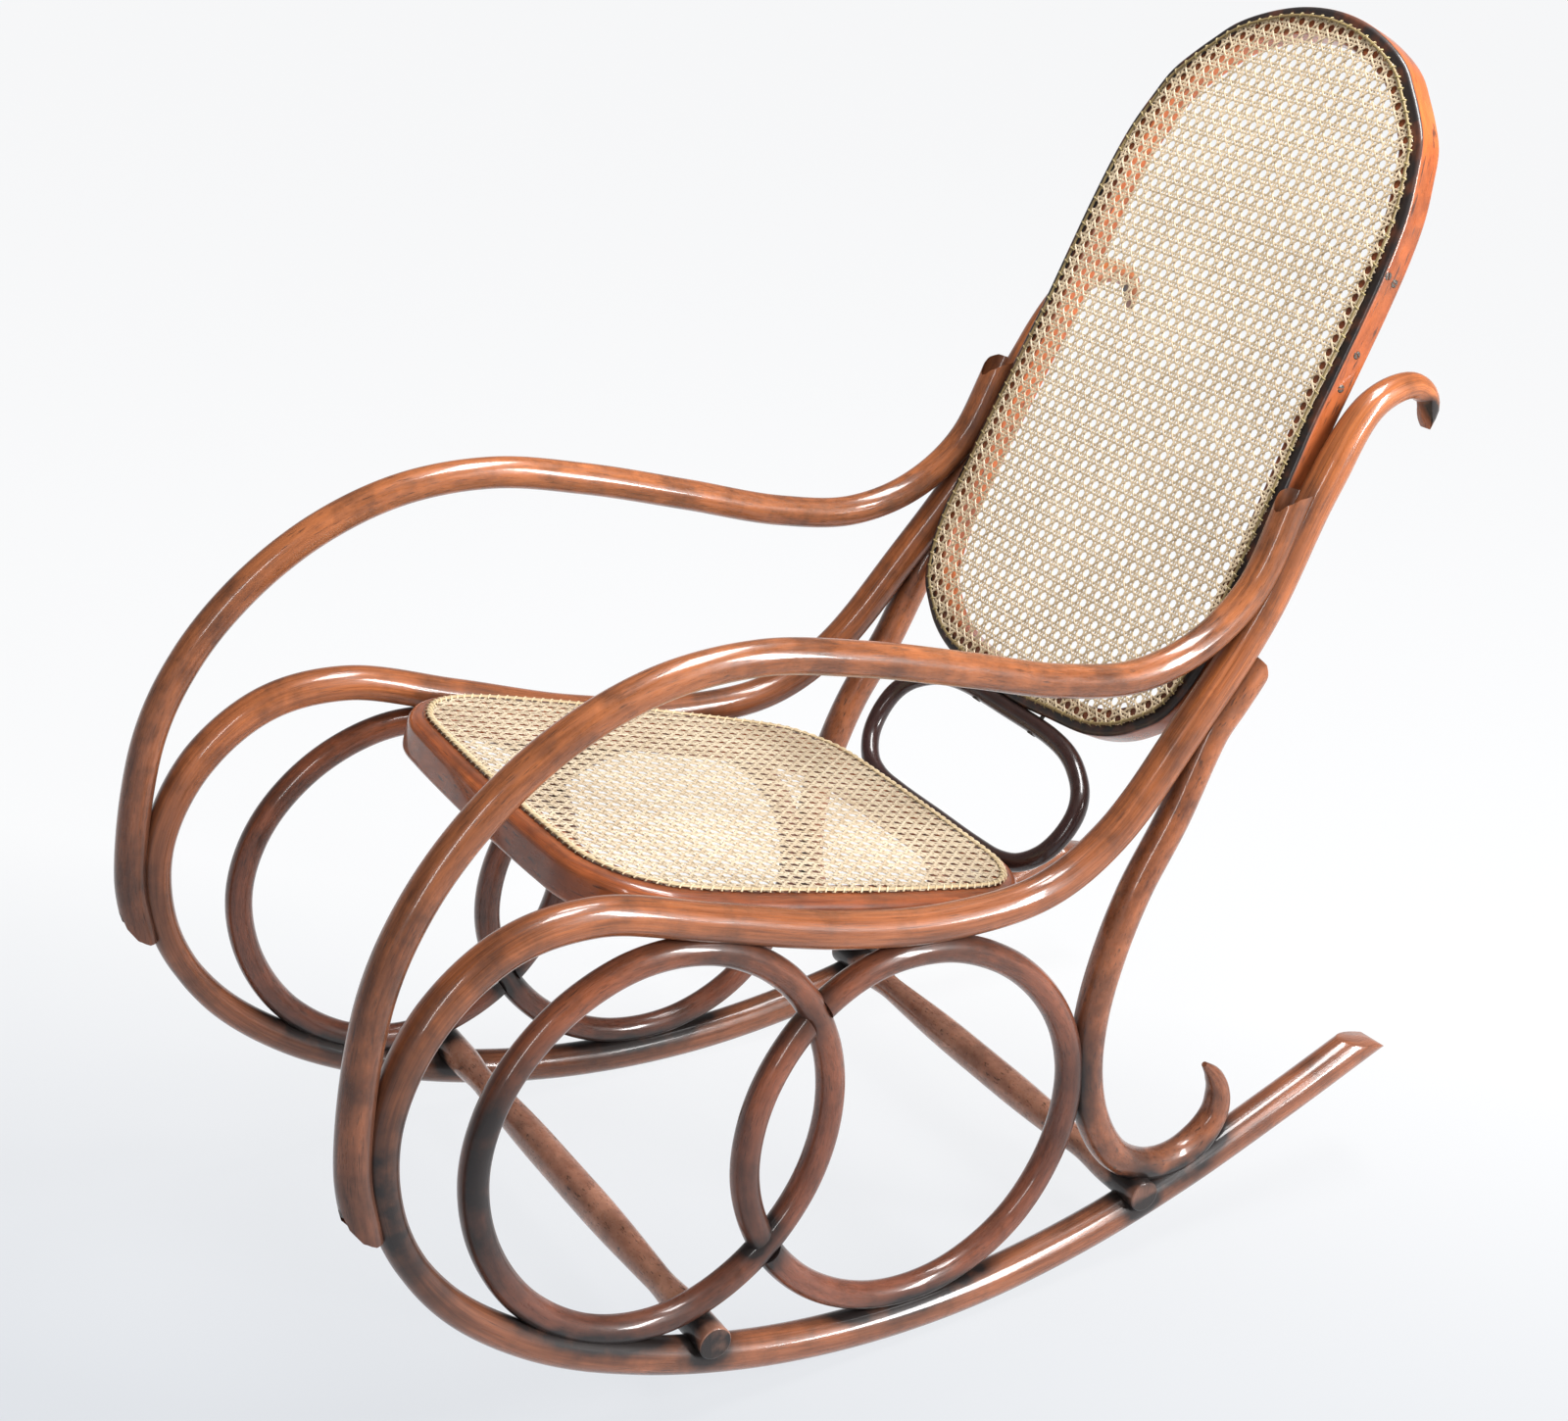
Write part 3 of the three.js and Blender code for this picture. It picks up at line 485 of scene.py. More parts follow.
grainGroup = buildGrainGroup()
strawGroup = buildStrawGroup()
railWood = polishedWood("railBeech", (0.58, 0.195, 0.070), (0.135, 0.043, 0.018), 0.7)
# the rings' beech is darker than the rail's: partly a darker tone of their own, partly painted shade
# for where they sit at the front of the chair
ringWood = polishedWood("ringBeech", (0.40, 0.125, 0.052), (0.09, 0.033, 0.018), 0.75)
stretcherWood = polishedWood("stretcherBeech", (0.86, 0.40, 0.20), (0.36, 0.135, 0.065), 0.5)
armWood = polishedWood("armBeech", (0.46, 0.165, 0.070), (0.11, 0.038, 0.018), 0.75)
frameWood = polishedWood("frameBeech", (0.66, 0.190, 0.058), (0.22, 0.052, 0.019), 0.55)
ovalWood = polishedWood("ovalBeech", (0.060, 0.024, 0.019), (0.020, 0.011, 0.010), 0.4)
# painted shade: the seat's cane is a darker copy of the back's, darkened against the stronger overhead
# light on the seat
seatCaneSkin = caneMaterial("seatCaneSkin", (0.60, 0.50, 0.36), (0.37, 0.27, 0.17))
backCaneSkin = caneMaterial("backCaneSkin", (0.74, 0.60, 0.42), (0.45, 0.34, 0.21))
seatBinderSkin = caneMaterial("seatBinderSkin", (0.78, 0.64, 0.42), (0.46, 0.34, 0.19))
backBinderSkin = caneMaterial("backBinderSkin", (0.42, 0.33, 0.14), (0.20, 0.14, 0.06))
screwIron = ironMaterial("screwIron")
print("finishes ready")


# side frames

# line: places from one end to the other. thick: radius at a share of the length.
# ends: the side that is cut back, how far the tip runs past the line, and the cuts
sideFrame = {
    "step": 5.0,                    # spacing of the rings of a rod
    "rail": {
        "line": [(516.1, 117.6), (404.8, 80.4), (290.7, 46.1), (175.5, 21.6), (59.3, 10.8),
                 (-55.9, 16.0), (-166.1, 36.5), (-269.4, 72.2), (-363.1, 123.0), (-433.0, 189.4),
                 (-469.6, 265.9), (-470.1, 349.0), (-432.3, 420.3), (-369.1, 463.8),
                 (-296.2, 469.7), (-193.9, 436.7), (-82.7, 398.4), (24.5, 375.7), (122.8, 376.5),
                 (190.4, 409.2), (268.8, 490.6), (338.3, 573.6), (393.9, 671.8), (442.6, 736.2),
                 (485.6, 748.0), (504.4, 738.6), (510.2, 725.2), (503.6, 710.4)],
        "thick": [(0, 17), (0.2, 17), (0.35, 15.5), (0.43, 11.75), (0.52, 15.5), (0.935, 15.5),
                  (0.968, 12.4), (0.985, 10.4), (1, 8.6)],
        "ends": {0: {"away": -1, "tip": 19,
                     "cuts": [(0, -9, 0.98), (-8, 3, 0.5), (-13, 7, 0.0), (-17, 3, -0.8)]}},
    },
    "arm": {
        "line": [(-491.3, 268.0), (-495.6, 326.6), (-470.9, 450.2), (-433.9, 518.0),
                 (-380.7, 573.2), (-313.4, 615.9), (-237.6, 640.1), (-153.6, 642.1),
                 (-64.4, 622.2), (34.2, 591.7), (130.2, 560.7), (209.9, 547.8), (275.0, 561.9),
                 (326.8, 599.1), (365.9, 671.1)],
        "thick": [(0, 14), (1, 14)],
        "ends": {0: {"away": 1, "tip": 8, "long": 36}, -1: {"away": 1, "tip": 8, "long": 30}},
    },
    "leg": {
        "line": [(331.3, 521.5), (313.3, 500.8), (293.7, 479.0), (255.1, 406.9), (218.0, 348.5),
                 (194.0, 294.1), (179.1, 239.8), (176.1, 186.8), (187.1, 135.2), (213.0, 91.8),
                 (249.1, 69.0), (284.6, 65.4), (311.1, 75.9), (328.8, 96.9), (330.4, 120.1),
                 (323.4, 137.4), (312.6, 150.6)],
        "thick": [(0, 14.75), (0.858, 14.75), (0.93, 11.6), (0.965, 8.2), (1, 1.2)],
        "ends": {0: {"away": 1, "tip": 14, "long": 34}},
    },
    "front_ring": {
        "line": [(-401.6, 289.8), (-376.6, 350.4), (-324.5, 398.1), (-257.2, 420.7),
                 (-188.6, 411.0), (-128.6, 369.2), (-94.4, 307.9), (-89.1, 240.8),
                 (-112.4, 175.9), (-166.2, 121.8), (-236.6, 97.5), (-306.1, 110.8),
                 (-364.0, 156.8), (-397.1, 221.7)],
        "thick": [(0, 12), (1, 12)],
    },
    "rear_ring": {
        "line": [(-168.4, 204.3), (-152.5, 270.2), (-108.9, 324.9), (-46.7, 354.5), (24.3, 351.6),
                 (92.6, 315.6), (139.8, 257.7), (157.1, 193.7), (143.1, 126.2), (98.8, 68.6),
                 (31.1, 38.0), (-42.8, 41.9), (-108.9, 78.9), (-153.5, 138.7)],
        "thick": [(0, 12), (1, 12)],
    },
    "lapDeep": 24.0, "lapWide": 9.4,
    "ease": 1.1, "easeAngle": 38,   # rounding of cut edges
    "cuts": 4, "firstCut": 13,      # cuts round a tip, and the angle of the first
    "trimReach": 40, "weld": 0.3,
    # painted shade and painted dark reflection on the outward side: place, reach and amount
    "shadeSpots": {
        "rail": [(-445, 300, 160, 0.9), (503, 724, 17, 1.6)],
        "front_ring": [(-380, 290, 130, 1.0), (-250, 110, 90, 0.5)],
        "rear_ring": [(-150, 190, 80, 0.55)],
        "arm": [(-480, 300, 60, 0.4)],
    },
    "shadeMiddle": 0.4, "shadeTurn": 14,  # its share halfway round, and how soon it fades inwards
    "scroll": {"place": (506.0, 725.0), "turn": 0.2, "size": (20, 44, 40), "above": 10},
}


def thicknessAt(stops, share):
    for (a, ra), (b, rb) in zip(stops, stops[1:]):
        if share <= b:
            return ra + (rb - ra) * (share - a) / max(b - a, 1e-6)
    return stops[-1][1]


def roundedCuts(wide, long, tip):
    # planes round a quarter ellipse: place across the rod, place along it, slant
    cuts = []
    for k in range(sideFrame["cuts"]):
        turn = math.radians(90 / sideFrame["cuts"] * k + sideFrame["firstCut"])
        across = wide * math.cos(turn) - wide / 2
        along = long * (math.sin(turn) - 1) + tip
        cuts.append((across, along, math.atan2(math.cos(turn) / wide, math.sin(turn) / long)))
    return cuts


def trimEnd(rod, place, onward, away, cuts, reach):
    for across, along, slant in cuts:
        pickFaces(rod, lambda face: (face.center - place).length < reach)
        bpy.ops.mesh.bisect(plane_co=place + away * across + onward * along,
                            plane_no=onward * math.cos(slant) + away * math.sin(slant),
                            use_fill=True, clear_outer=True)
        bpy.ops.object.mode_set(mode="OBJECT")
    pickFaces(rod, lambda face: (face.center - place).length < reach)
    bpy.ops.mesh.remove_doubles(threshold=sideFrame["weld"])
    bpy.ops.object.mode_set(mode="OBJECT")


def bentRod(name, closed):
    drawing = sideFrame[name]
    step = sideFrame["step"]
    path, length = smoothPath(drawing["line"], closed, step)
    count = len(path)
    radii = [thicknessAt(drawing["thick"], k / count) for k in range(count)]
    trims = []
    for index, end in drawing.get("ends", {}).items():
        onward = (path[index] - path[1 if index == 0 else -2]).normalized()
        away = Vector((onward.y, -onward.x, 0)) * end["away"] * (1 if index == 0 else -1)
        trims.append((end, path[index].copy(), onward, away, radii[index] * 2))
    for end, place, onward, away, wide in trims:
        more = [place + onward * step * k for k in range(1, int(end["tip"] / step) + 3)]
        if place == path[0]:
            path, radii = more[::-1] + path, [radii[0]] * len(more) + radii
        else:
            path, radii = path + more, radii + [radii[-1]] * len(more)
    rod = drawCurve([path], closed, [radii])
    spreadUv(rod, length)
    for end, place, onward, away, wide in trims:
        cuts = end.get("cuts") or roundedCuts(wide, end["long"], end["tip"])
        trimEnd(rod, place, onward, away, cuts, wide + end["tip"] + sideFrame["trimReach"])
    return rod, path


def lapBand(path, radius, low, high):
    # a flat band over a ring's path, to cut the other ring's half away
    places = [(-radius, low), (radius, low), (radius, high), (-radius, high)]
    band = drawCurve([path], True, section=sectionCurve(places))
    faceOutwards(band)
    return band


def flattenScroll(rod):
    # the post's curled end is planed flat on the side that faces forward
    s = sideFrame["scroll"]
    deselectAll()
    bpy.ops.mesh.primitive_cube_add(size=1)
    cutter = bpy.context.object
    wide, high, deep = s["size"]
    cutter.data.transform(Matrix.Translation((s["place"][0], s["place"][1], 0))
                          @ Matrix.Rotation(s["turn"], 4, "Z")
                          @ Matrix.Translation((-wide / 2, -high / 2 + s["above"], 0))
                          @ Matrix.Diagonal((wide, high, deep, 1)))
    carve(rod, cutter)


def paintRodShade(rod, spots):
    # painted shade and painted dark reflection in patches, on the side that faces away from the
    # chair's middle
    values = pointValues(rod, "dirtAndShade")
    for x, y, reach, amount in spots:
        for k, vertex in enumerate(rod.data.vertices):
            far = math.hypot(vertex.co.x - x, vertex.co.y - y) / reach
            if far < 1:
                side = sideFrame["shadeMiddle"] + vertex.co.z / sideFrame["shadeTurn"]
                side = min(max(side, 0.0), 1.0)
                values[k] = max(values[k], amount * side * (1 - far * far))
    pointValues(rod, "dirtAndShade", values)


rods, paths = {}, {}
for key in ("rail", "arm", "leg", "front_ring", "rear_ring"):
    rods[key], paths[key] = bentRod(key, key.endswith("ring"))
    faceOutwards(rods[key])
deep = sideFrame["lapDeep"]
carve(rods["rear_ring"], lapBand(paths["front_ring"], sideFrame["lapWide"], 0.0, deep))
carve(rods["front_ring"], lapBand(paths["rear_ring"], sideFrame["lapWide"], -deep, 0.0))
flattenScroll(rods["rail"])
for key, rod in rods.items():
    useModifier(rod, "BEVEL", width=sideFrame["ease"], segments=2, limit_method="ANGLE",
                angle_limit=math.radians(sideFrame["easeAngle"]))
    paintRodShade(rod, sideFrame["shadeSpots"].get(key, []))
    settle(rod, sideMatrix())
nodeNames = {"rail": "side_rail", "leg": "rear_leg"}
woods = {"front_ring": ringWood, "rear_ring": ringWood, "arm": armWood}
pieces = {}
for key, rod in rods.items():
    wood = woods.get(key, railWood)
    node = nodeNames.get(key, key)
    other = mirrorCopy(rod, key)
    pieces[key + "Left"] = finishPiece(rod, key + "_wood_left", wood, [node + "_left"])
    pieces[key + "Right"] = finishPiece(other, key + "_wood_right", wood, [node + "_right"])
print("side frames bent")


# turned stretchers

stretcher = {
    "front": (-208.03, 71.40), "rear": (234.75, 51.14),
    "standout": 21.0,               # how far the ends stand past the rail's centre
    "end": 14.5, "neck": 11.25, "barrel": 15.5, "shoulder": 14.78,
    "barrelShare": 0.31, "shoulderShare": 0.51,
    "endLength": 62.0, "flare": 22.0, "ease": 1.6,
    "spans": 70, "blend": 4,        # steps in a half, and how many each side are averaged
    "easeSteps": 4, "rings": 12,
    "face": {"front": 1.0, "rear": 0.45}, "faceDeep": 0.4,   # how dark the round ends are
}


def turnedStretcher(name):
    s = stretcher
    y, z = s[name]
    half = chairPlace["sideOut"] - chairPlace["toe"] * y - chairPlace["sideLean"] * z + s["standout"]
    flare = half - s["endLength"]
    inner = flare - s["flare"]
    marks = [(0, s["barrel"]), (inner * s["barrelShare"], s["barrel"]),
             (inner * s["shoulderShare"], s["shoulder"]), (inner, s["neck"]),
             (flare, s["end"]), (half, s["end"])]
    reach = half - s["ease"]
    spans, blend = s["spans"], s["blend"]
    xs = [reach * k / spans for k in range(spans + 1)]
    sharp = [thicknessAt(marks, x) for x in xs]
    profile = []
    for k, x in enumerate(xs):
        near = [sharp[min(abs(j), spans)] for j in range(k - blend, k + blend + 1)]
        profile.append((x, sum(near) / len(near)))
    for k in range(1, s["easeSteps"] + 1):
        a = math.radians(90 / s["easeSteps"] * k)
        profile.append((reach + s["ease"] * math.sin(a), s["end"] - s["ease"] * (1 - math.cos(a))))
    both = [(-x, r) for x, r in reversed(profile[1:])] + profile
    path = [(x, 0, 0) for x, r in both]
    rod = drawCurve([path], False, [[r for x, r in both]], s["rings"])
    spreadUv(rod, half * 2)
    pointValues(rod, "dirtAndShade", [s["face"][name] if abs(v.co.x) > half - s["faceDeep"] else 0.0
                               for v in rod.data.vertices])
    settle(rod, chairMatrix() @ Matrix.Translation((0, y, z)))
    return finishPiece(rod, name + "_stretcher_wood", stretcherWood,
                       [name + "_stretcher"])


for name in ("front", "rear"):
    pieces[name + "Stretcher"] = turnedStretcher(name)
print("stretchers turned")


# bent frames of the seat and the back, and the oval between them

seat = {
    "place": (-268.54, 469.45, -16.05),
    "edge": [(0, 0), (60, 0.9), (113, 3.1), (142.8, 6.1), (164.8, 15.8), (182.2, 28.9),
             (193.3, 44.2), (202.5, 64.4), (207, 97.2), (207, 148.9), (204.9, 198.9),
             (202, 248.8), (197.1, 296.1), (192.1, 335.1), (187.1, 368.8), (180.1, 394.2),
             (168.1, 410.8), (149.9, 424), (124.2, 434.1), (60, 437.1), (0, 438)],
    "rim": {"wide": 34.0, "high": 34.0, "round": 12.0, "ease": 5.0},
    "shade": (0.32, 0.18),          # painted shade on the crest, and further in under the cane
    "pitch": (12.54, 13.21), "column": 0.0, "row": 6.0,
}
back = {
    "place": (245.05, 436.99, 62.64),
    "edge": [(0, 0), (52, 3.9), (105.1, 9.8), (138.1, 22.1), (159.9, 37.1), (176.2, 52), (187, 74.1),
             (194, 109.2), (194, 163.8), (192.8, 219.1), (190.1, 278.9), (187.4, 328.9), (187, 378.9),
             (186.6, 429), (183.9, 479.1), (178.9, 512.2), (169.9, 540.8), (159.9, 566.1),
             (143.2, 586.3), (126.1, 603.2), (107.9, 619.4), (79.9, 633.8), (40, 646.1), (0, 650)],
    "rim": {"wide": 25.0, "high": 26.0, "round": 6.0, "ease": 4.0},
    "shade": (0.95, 0.4),
    "pitch": (12.7, 12.17), "column": 10.0, "row": 6.0,
}
oval = {
    "place": (167.81, 331.43, 50.89),
    "edge": [(0, 0), (59.9, 0), (94.9, 2), (118, 9.2), (134, 22.6), (141.9, 35.9), (146, 55.6),
             (144, 74.0), (134.9, 89.5), (117.1, 102.9), (96.1, 112.1), (66, 117.2), (0, 118.2)],
    "thick": 8.5, "rings": 8,
}
# seam: where the wood under the cane meets the crest. shadeDeep: how far down the painted shade runs
crestShape = {
    "lip": 2.0, "seam": (-8.0, -5.0), "shadeDeep": -2.2, "shadeIn": -6.0,
    "crestSteps": 6, "cornerSteps": 4,
}


def wholeEdge(half):
    return half + [(-x, y) for x, y in reversed(half[1:-1])]


def rimSection(rim):
    # drawn across the rim: x outwards, y towards the sitter
    out, inside, low, e = rim["round"], rim["round"] - rim["wide"], -rim["high"], rim["ease"]
    lip = crestShape["lip"]
    places = [(inside + e, 0.0)] + [(x, 0.0) for x in crestShape["seam"]] + [(lip, 0.0)]
    reach = out - lip
    steps, corner = crestShape["crestSteps"], crestShape["cornerSteps"]
    for k in range(1, steps + 1):
        a = math.radians(90 - 90 / steps * k)
        places.append((lip + reach * math.cos(a), -reach + reach * math.sin(a)))
    for cx, cy, first in ((out - e, low + e, 0), (inside + e, low + e, -90), (inside + e, -e, -180)):
        for k in range(corner + 1):
            a = math.radians(first - 90 / corner * k)
            places.append((cx + e * math.cos(a), cy + e * math.sin(a)))
    return places


def bentFrame(name, panel, material, node):
    path, length = smoothPath(wholeEdge(panel["edge"]), True, 6.0)
    places = rimSection(panel["rim"])
    section = sectionCurve(places)
    rim = drawCurve([path], True, section=section)
    spreadUv(rim, length)
    # painted shade on the crest by the binder, and under the cane
    crest, under = panel["shade"]
    tones = [0.0 if y < crestShape["shadeDeep"] else (crest if x > crestShape["shadeIn"] else under)
             for x, y in places]
    pointValues(rim, "dirtAndShade", [tones[k % len(tones)] for k in range(len(rim.data.vertices))])
    settle(rim, panelMatrix(*panel["place"]))
    faceOutwards(rim)
    return finishPiece(rim, name, material, [node], smooth=50)


pieces["seatFrame"] = bentFrame("seat_rim_wood", seat, frameWood, "seat_frame")
pieces["backFrame"] = bentFrame("back_rim_wood", back, frameWood, "back_frame")
path, length = smoothPath(wholeEdge(oval["edge"]), True, 5.0)
ring = drawCurve([path], True, [[oval["thick"]] * len(path)], oval["rings"])
spreadUv(ring, length)
settle(ring, panelMatrix(*oval["place"]))
pieces["oval"] = finishPiece(ring, "oval_wood", ovalWood, ["oval_ring"])
print("seat, back and oval frames bent")


jointShade = {"reach": 0.026, "least": 0.55, "floor": 2.4, "fade": 7}


def shadeJoints(group):
    # dark polish gathers in the joints, and painted shade darkens where two pieces come close, most of
    # all near the floor
    reach = jointShade["reach"]
    trees, corners = [], []
    for piece in group:
        places = [v.co.copy() for v in piece.data.vertices]
        trees.append(BVHTree.FromPolygons(places, [tuple(f.vertices) for f in piece.data.polygons]))
        corners.append([(min(p[i] for p in places) - reach, max(p[i] for p in places) + reach)
                        for i in range(3)])
    for a, piece in enumerate(group):
        values = pointValues(piece, "dirtAndShade")
        for b in range(len(group)):
            if a == b or any(corners[a][i][0] > corners[b][i][1] or corners[b][i][0] > corners[a][i][1]
                             for i in range(3)):
                continue
            (x0, x1), (y0, y1), (z0, z1) = corners[b]
            for k, vertex in enumerate(piece.data.vertices):
                x, y, z = vertex.co
                if x0 < x < x1 and y0 < y < y1 and z0 < z < z1:
                    hit = trees[b].find_nearest(vertex.co, reach)
                    if hit[0] is not None:
                        near = 1 - hit[3] / reach
                        most = max(jointShade["least"], jointShade["floor"] - jointShade["fade"] * z)
                        values[k] = max(values[k], min(1.0, most * near * near))
        pointValues(piece, "dirtAndShade", values)


shadeJoints(list(pieces.values()))
print("joints darkened")


# woven cane

weave = {
    "pair": 1.75,                   # half the space between the two strands of a pair
    "wide": 0.85, "thick": 0.42,    # half width and half thickness of a strand
    "slantWide": 0.95,
    "margin": 3.2,                  # how far inside the outline the strands end
    "base": 1.3, "lift": 0.45,      # height of the strands over the rim, and of their waves
    # a kind's share of the lift, the axis and turns in a pitch of its waves, and the fewest spans
    "waves": {"upright": (0.9, 1, 1, 1), "level": (0.35, 0, 0.5, 1), "slant": (1.5, 0, 1, 2)},
    "shortest": 4,                  # shorter strands are left out
    "reach": 40,                    # pairs looked at each way from the middle
    "bends": 4,                     # places on a strand from one crossing to the next
    "under": 0.6, "crown": 0.62,    # a strand's flat underside and rounded top
    "tones": ((0.61803, 0.31, 0.6), (0.2371, 0.0, 0.4)),    # from strand to strand
}


def shrunkEdge(panel, distance, step=8.0):
    path, length = smoothPath(wholeEdge(panel["edge"]), True, step)
    count = len(path)
    result = []
    for k in range(count):
        along = (path[(k + 1) % count] - path[k - 1]).normalized()
        result.append((path[k].x - along.y * distance, path[k].y + along.x * distance))
    return result


def clipLine(edge, point, direction):
    # where a straight line enters and leaves the outline
    hits = []
    count = len(edge)
    nx, ny = -direction[1], direction[0]
    for k in range(count):
        a, b = edge[k], edge[(k + 1) % count]
        da = (a[0] - point[0]) * nx + (a[1] - point[1]) * ny
        db = (b[0] - point[0]) * nx + (b[1] - point[1]) * ny
        if (da > 0) != (db > 0):
            t = da / (da - db)
            x, y = a[0] + (b[0] - a[0]) * t, a[1] + (b[1] - a[1]) * t
            hits.append((x - point[0]) * direction[0] + (y - point[1]) * direction[1])
    return (min(hits), max(hits)) if len(hits) >= 2 else None


def toneStrands(piece, perStrand):
    # each strand keeps one tone, held as a value on its points
    values = []
    for k, count in enumerate(perStrand):
        tone = sum(((k * turn + first) % 1.0) * share for turn, first, share in weave["tones"])
        values.extend([tone] * count)
    values = values[:len(piece.data.vertices)]
    values.extend([0.5] * (len(piece.data.vertices) - len(values)))
    pointValues(piece, "strandTone", values)


def weaveLayer(name, panel, kind, skin, node):
    w = weave
    edge = shrunkEdge(panel, w["margin"])
    px, py = panel["pitch"]
    x0, y0 = panel["column"] + px / 2, panel["row"] + py / 2   # a crossing of two pairs
    reach = w["reach"]
    # a strand: a place on it, its direction, and whether it waves up or down first
    if kind == "upright":
        pitch = py
        plans = [((x0 + k * px + side * w["pair"], 0), (0, 1), side)
                 for k in range(-reach, reach) for side in (-1, 1)]
    elif kind == "level":
        pitch = px
        plans = [((0, y0 + k * py + side * w["pair"]), (1, 0), 1)
                 for k in range(-reach, reach * 2) for side in (-1, 1)]
    else:
        pitch = math.hypot(px, py)
        slope = 1 if kind == "slantLeft" else -1
        plans = [((x0 + px / 2 + k * px, y0), (px / pitch, slope * py / pitch), slope)
                 for k in range(-3 * reach, 3 * reach)]
    share, axis, turns, fewest = w["waves"]["slant" if kind.startswith("slant") else kind]
    strands = []
    for start, direction, first in plans:
        ends = clipLine(edge, start, direction)
        if not ends or ends[1] - ends[0] < w["shortest"]:
            continue
        line = []
        steps = max(fewest, int((ends[1] - ends[0]) / (pitch / w["bends"])))
        for k in range(steps + 1):
            s = ends[0] + (ends[1] - ends[0]) * k / steps
            x, y = start[0] + direction[0] * s, start[1] + direction[1] * s
            turn = ((x - x0) / px, (y - y0) / py)[axis] * math.tau * turns
            line.append((x, y, w["base"] + w["lift"] * share * first * math.cos(turn)))
        strands.append(line)
    wide = w["slantWide"] if kind.startswith("slant") else w["wide"]
    top, low, narrow = w["thick"], -w["thick"] * w["under"], wide * w["crown"]
    section = [(-wide, low), (wide, low), (narrow, top), (-narrow, top)]
    cane = drawCurve(strands, False, section=sectionCurve(section))
    toneStrands(cane, [len(line) * len(section) for line in strands])
    settle(cane, panelMatrix(*panel["place"]))
    faceOutwards(cane)
    return finishPiece(cane, name, skin, [node], smooth=60)


for panelName, panel, skin in (("seat", seat, seatCaneSkin), ("back", back, backCaneSkin)):
    for kind in ("upright", "level", "slantLeft", "slantRight"):
        weaveLayer(panelName + "_weave_" + kind, panel, kind, skin, panelName + "_cane")
print("cane woven")


# profile: in half widths and thicknesses. tieLine: shares of the tie's reach, and heights
binder = {
    "height": 3.0,
    "profile": ((-1, -1), (1, -1), (1, 0), (0.7, 0.8), (0, 1), (-0.7, 0.8), (-1, 0)),
    "tieLine": ((-1, -1.9), (-0.8, -0.3), (-0.35, 0.45), (0.35, 0.45), (0.8, -0.4), (1, -1.7)),
    "tieSection": [(-0.75, -0.2), (0.75, -0.2), (0.5, 0.25), (-0.5, 0.25)],
    "seat": {"inset": 4.2, "wide": 2.1, "thick": 0.6, "tieStep": 9.0, "tieReach": 3.6, "skew": 3.2},
    "back": {"inset": 4.2, "wide": 1.3, "thick": 0.6, "tieStep": 12.6, "tieReach": 2.6, "skew": 1.0},
}


def binderLoop(name, panel, skin):
    b = binder[name]
    up = binder["height"]
    w, t = b["wide"], b["thick"]
    edge = shrunkEdge(panel, b["inset"])
    section = sectionCurve([(w * x, t * y) for x, y in binder["profile"]])
    loop = drawCurve([[(x, y, up) for x, y in edge]], True, section=section)
    spots = shrunkEdge(panel, b["inset"], b["tieStep"])
    ties = []
    for k, (x, y) in enumerate(spots):
        nx, ny = spots[(k + 1) % len(spots)]
        px, py = spots[k - 1]
        along = Vector((nx - px, ny - py, 0)).normalized()
        inward = Vector((-along.y, along.x, 0))
        middle = Vector((x, y, up + t))
        r, s = b["tieReach"], b["skew"]
        ties.append([middle + inward * (r * a) + along * (s * a) + Vector((0, 0, h))
                     for a, h in binder["tieLine"]])
    tieSection = binder["tieSection"]
    knots = drawCurve(ties, False, section=sectionCurve(tieSection))
    toneStrands(knots, [len(tie) * len(tieSection) for tie in ties])
    deselectAll()
    for part in (loop, knots):
        part.select_set(True)
    bpy.context.view_layer.objects.active = loop
    bpy.ops.object.join()
    settle(loop, panelMatrix(*panel["place"]))
    faceOutwards(loop)
    return finishPiece(loop, name + "_binder", skin, [name + "_binding"], smooth=60)


binderLoop("seat", seat, seatBinderSkin)
binderLoop("back", back, backBinderSkin)
print("binder laid")


# slotted screws

screw = {
    "arm": {"wide": 9.0, "long": 30.0, "proud": 13.4, "places": (26.0, 84.0), "turns": (35, 65)},
    "back": {"wide": 7.0, "long": 16.0, "proud": 6.6, "shares": (0.705, 0.7, 0.6, 0.553),
             "deeps": (6.24, 16.12, 11.7, 11.7), "turns": (20, 75, 50, 110)},
    "oval": {"wide": 8.5, "long": 20.0, "spread": 43.0, "up": 109.1, "turns": (15, 80)},
    "head": 2.4, "sides": 28, "slot": 1.1, "slotDeep": 2.0, "slotLong": 1.3, "round": 0.6, "shank": 2,
}


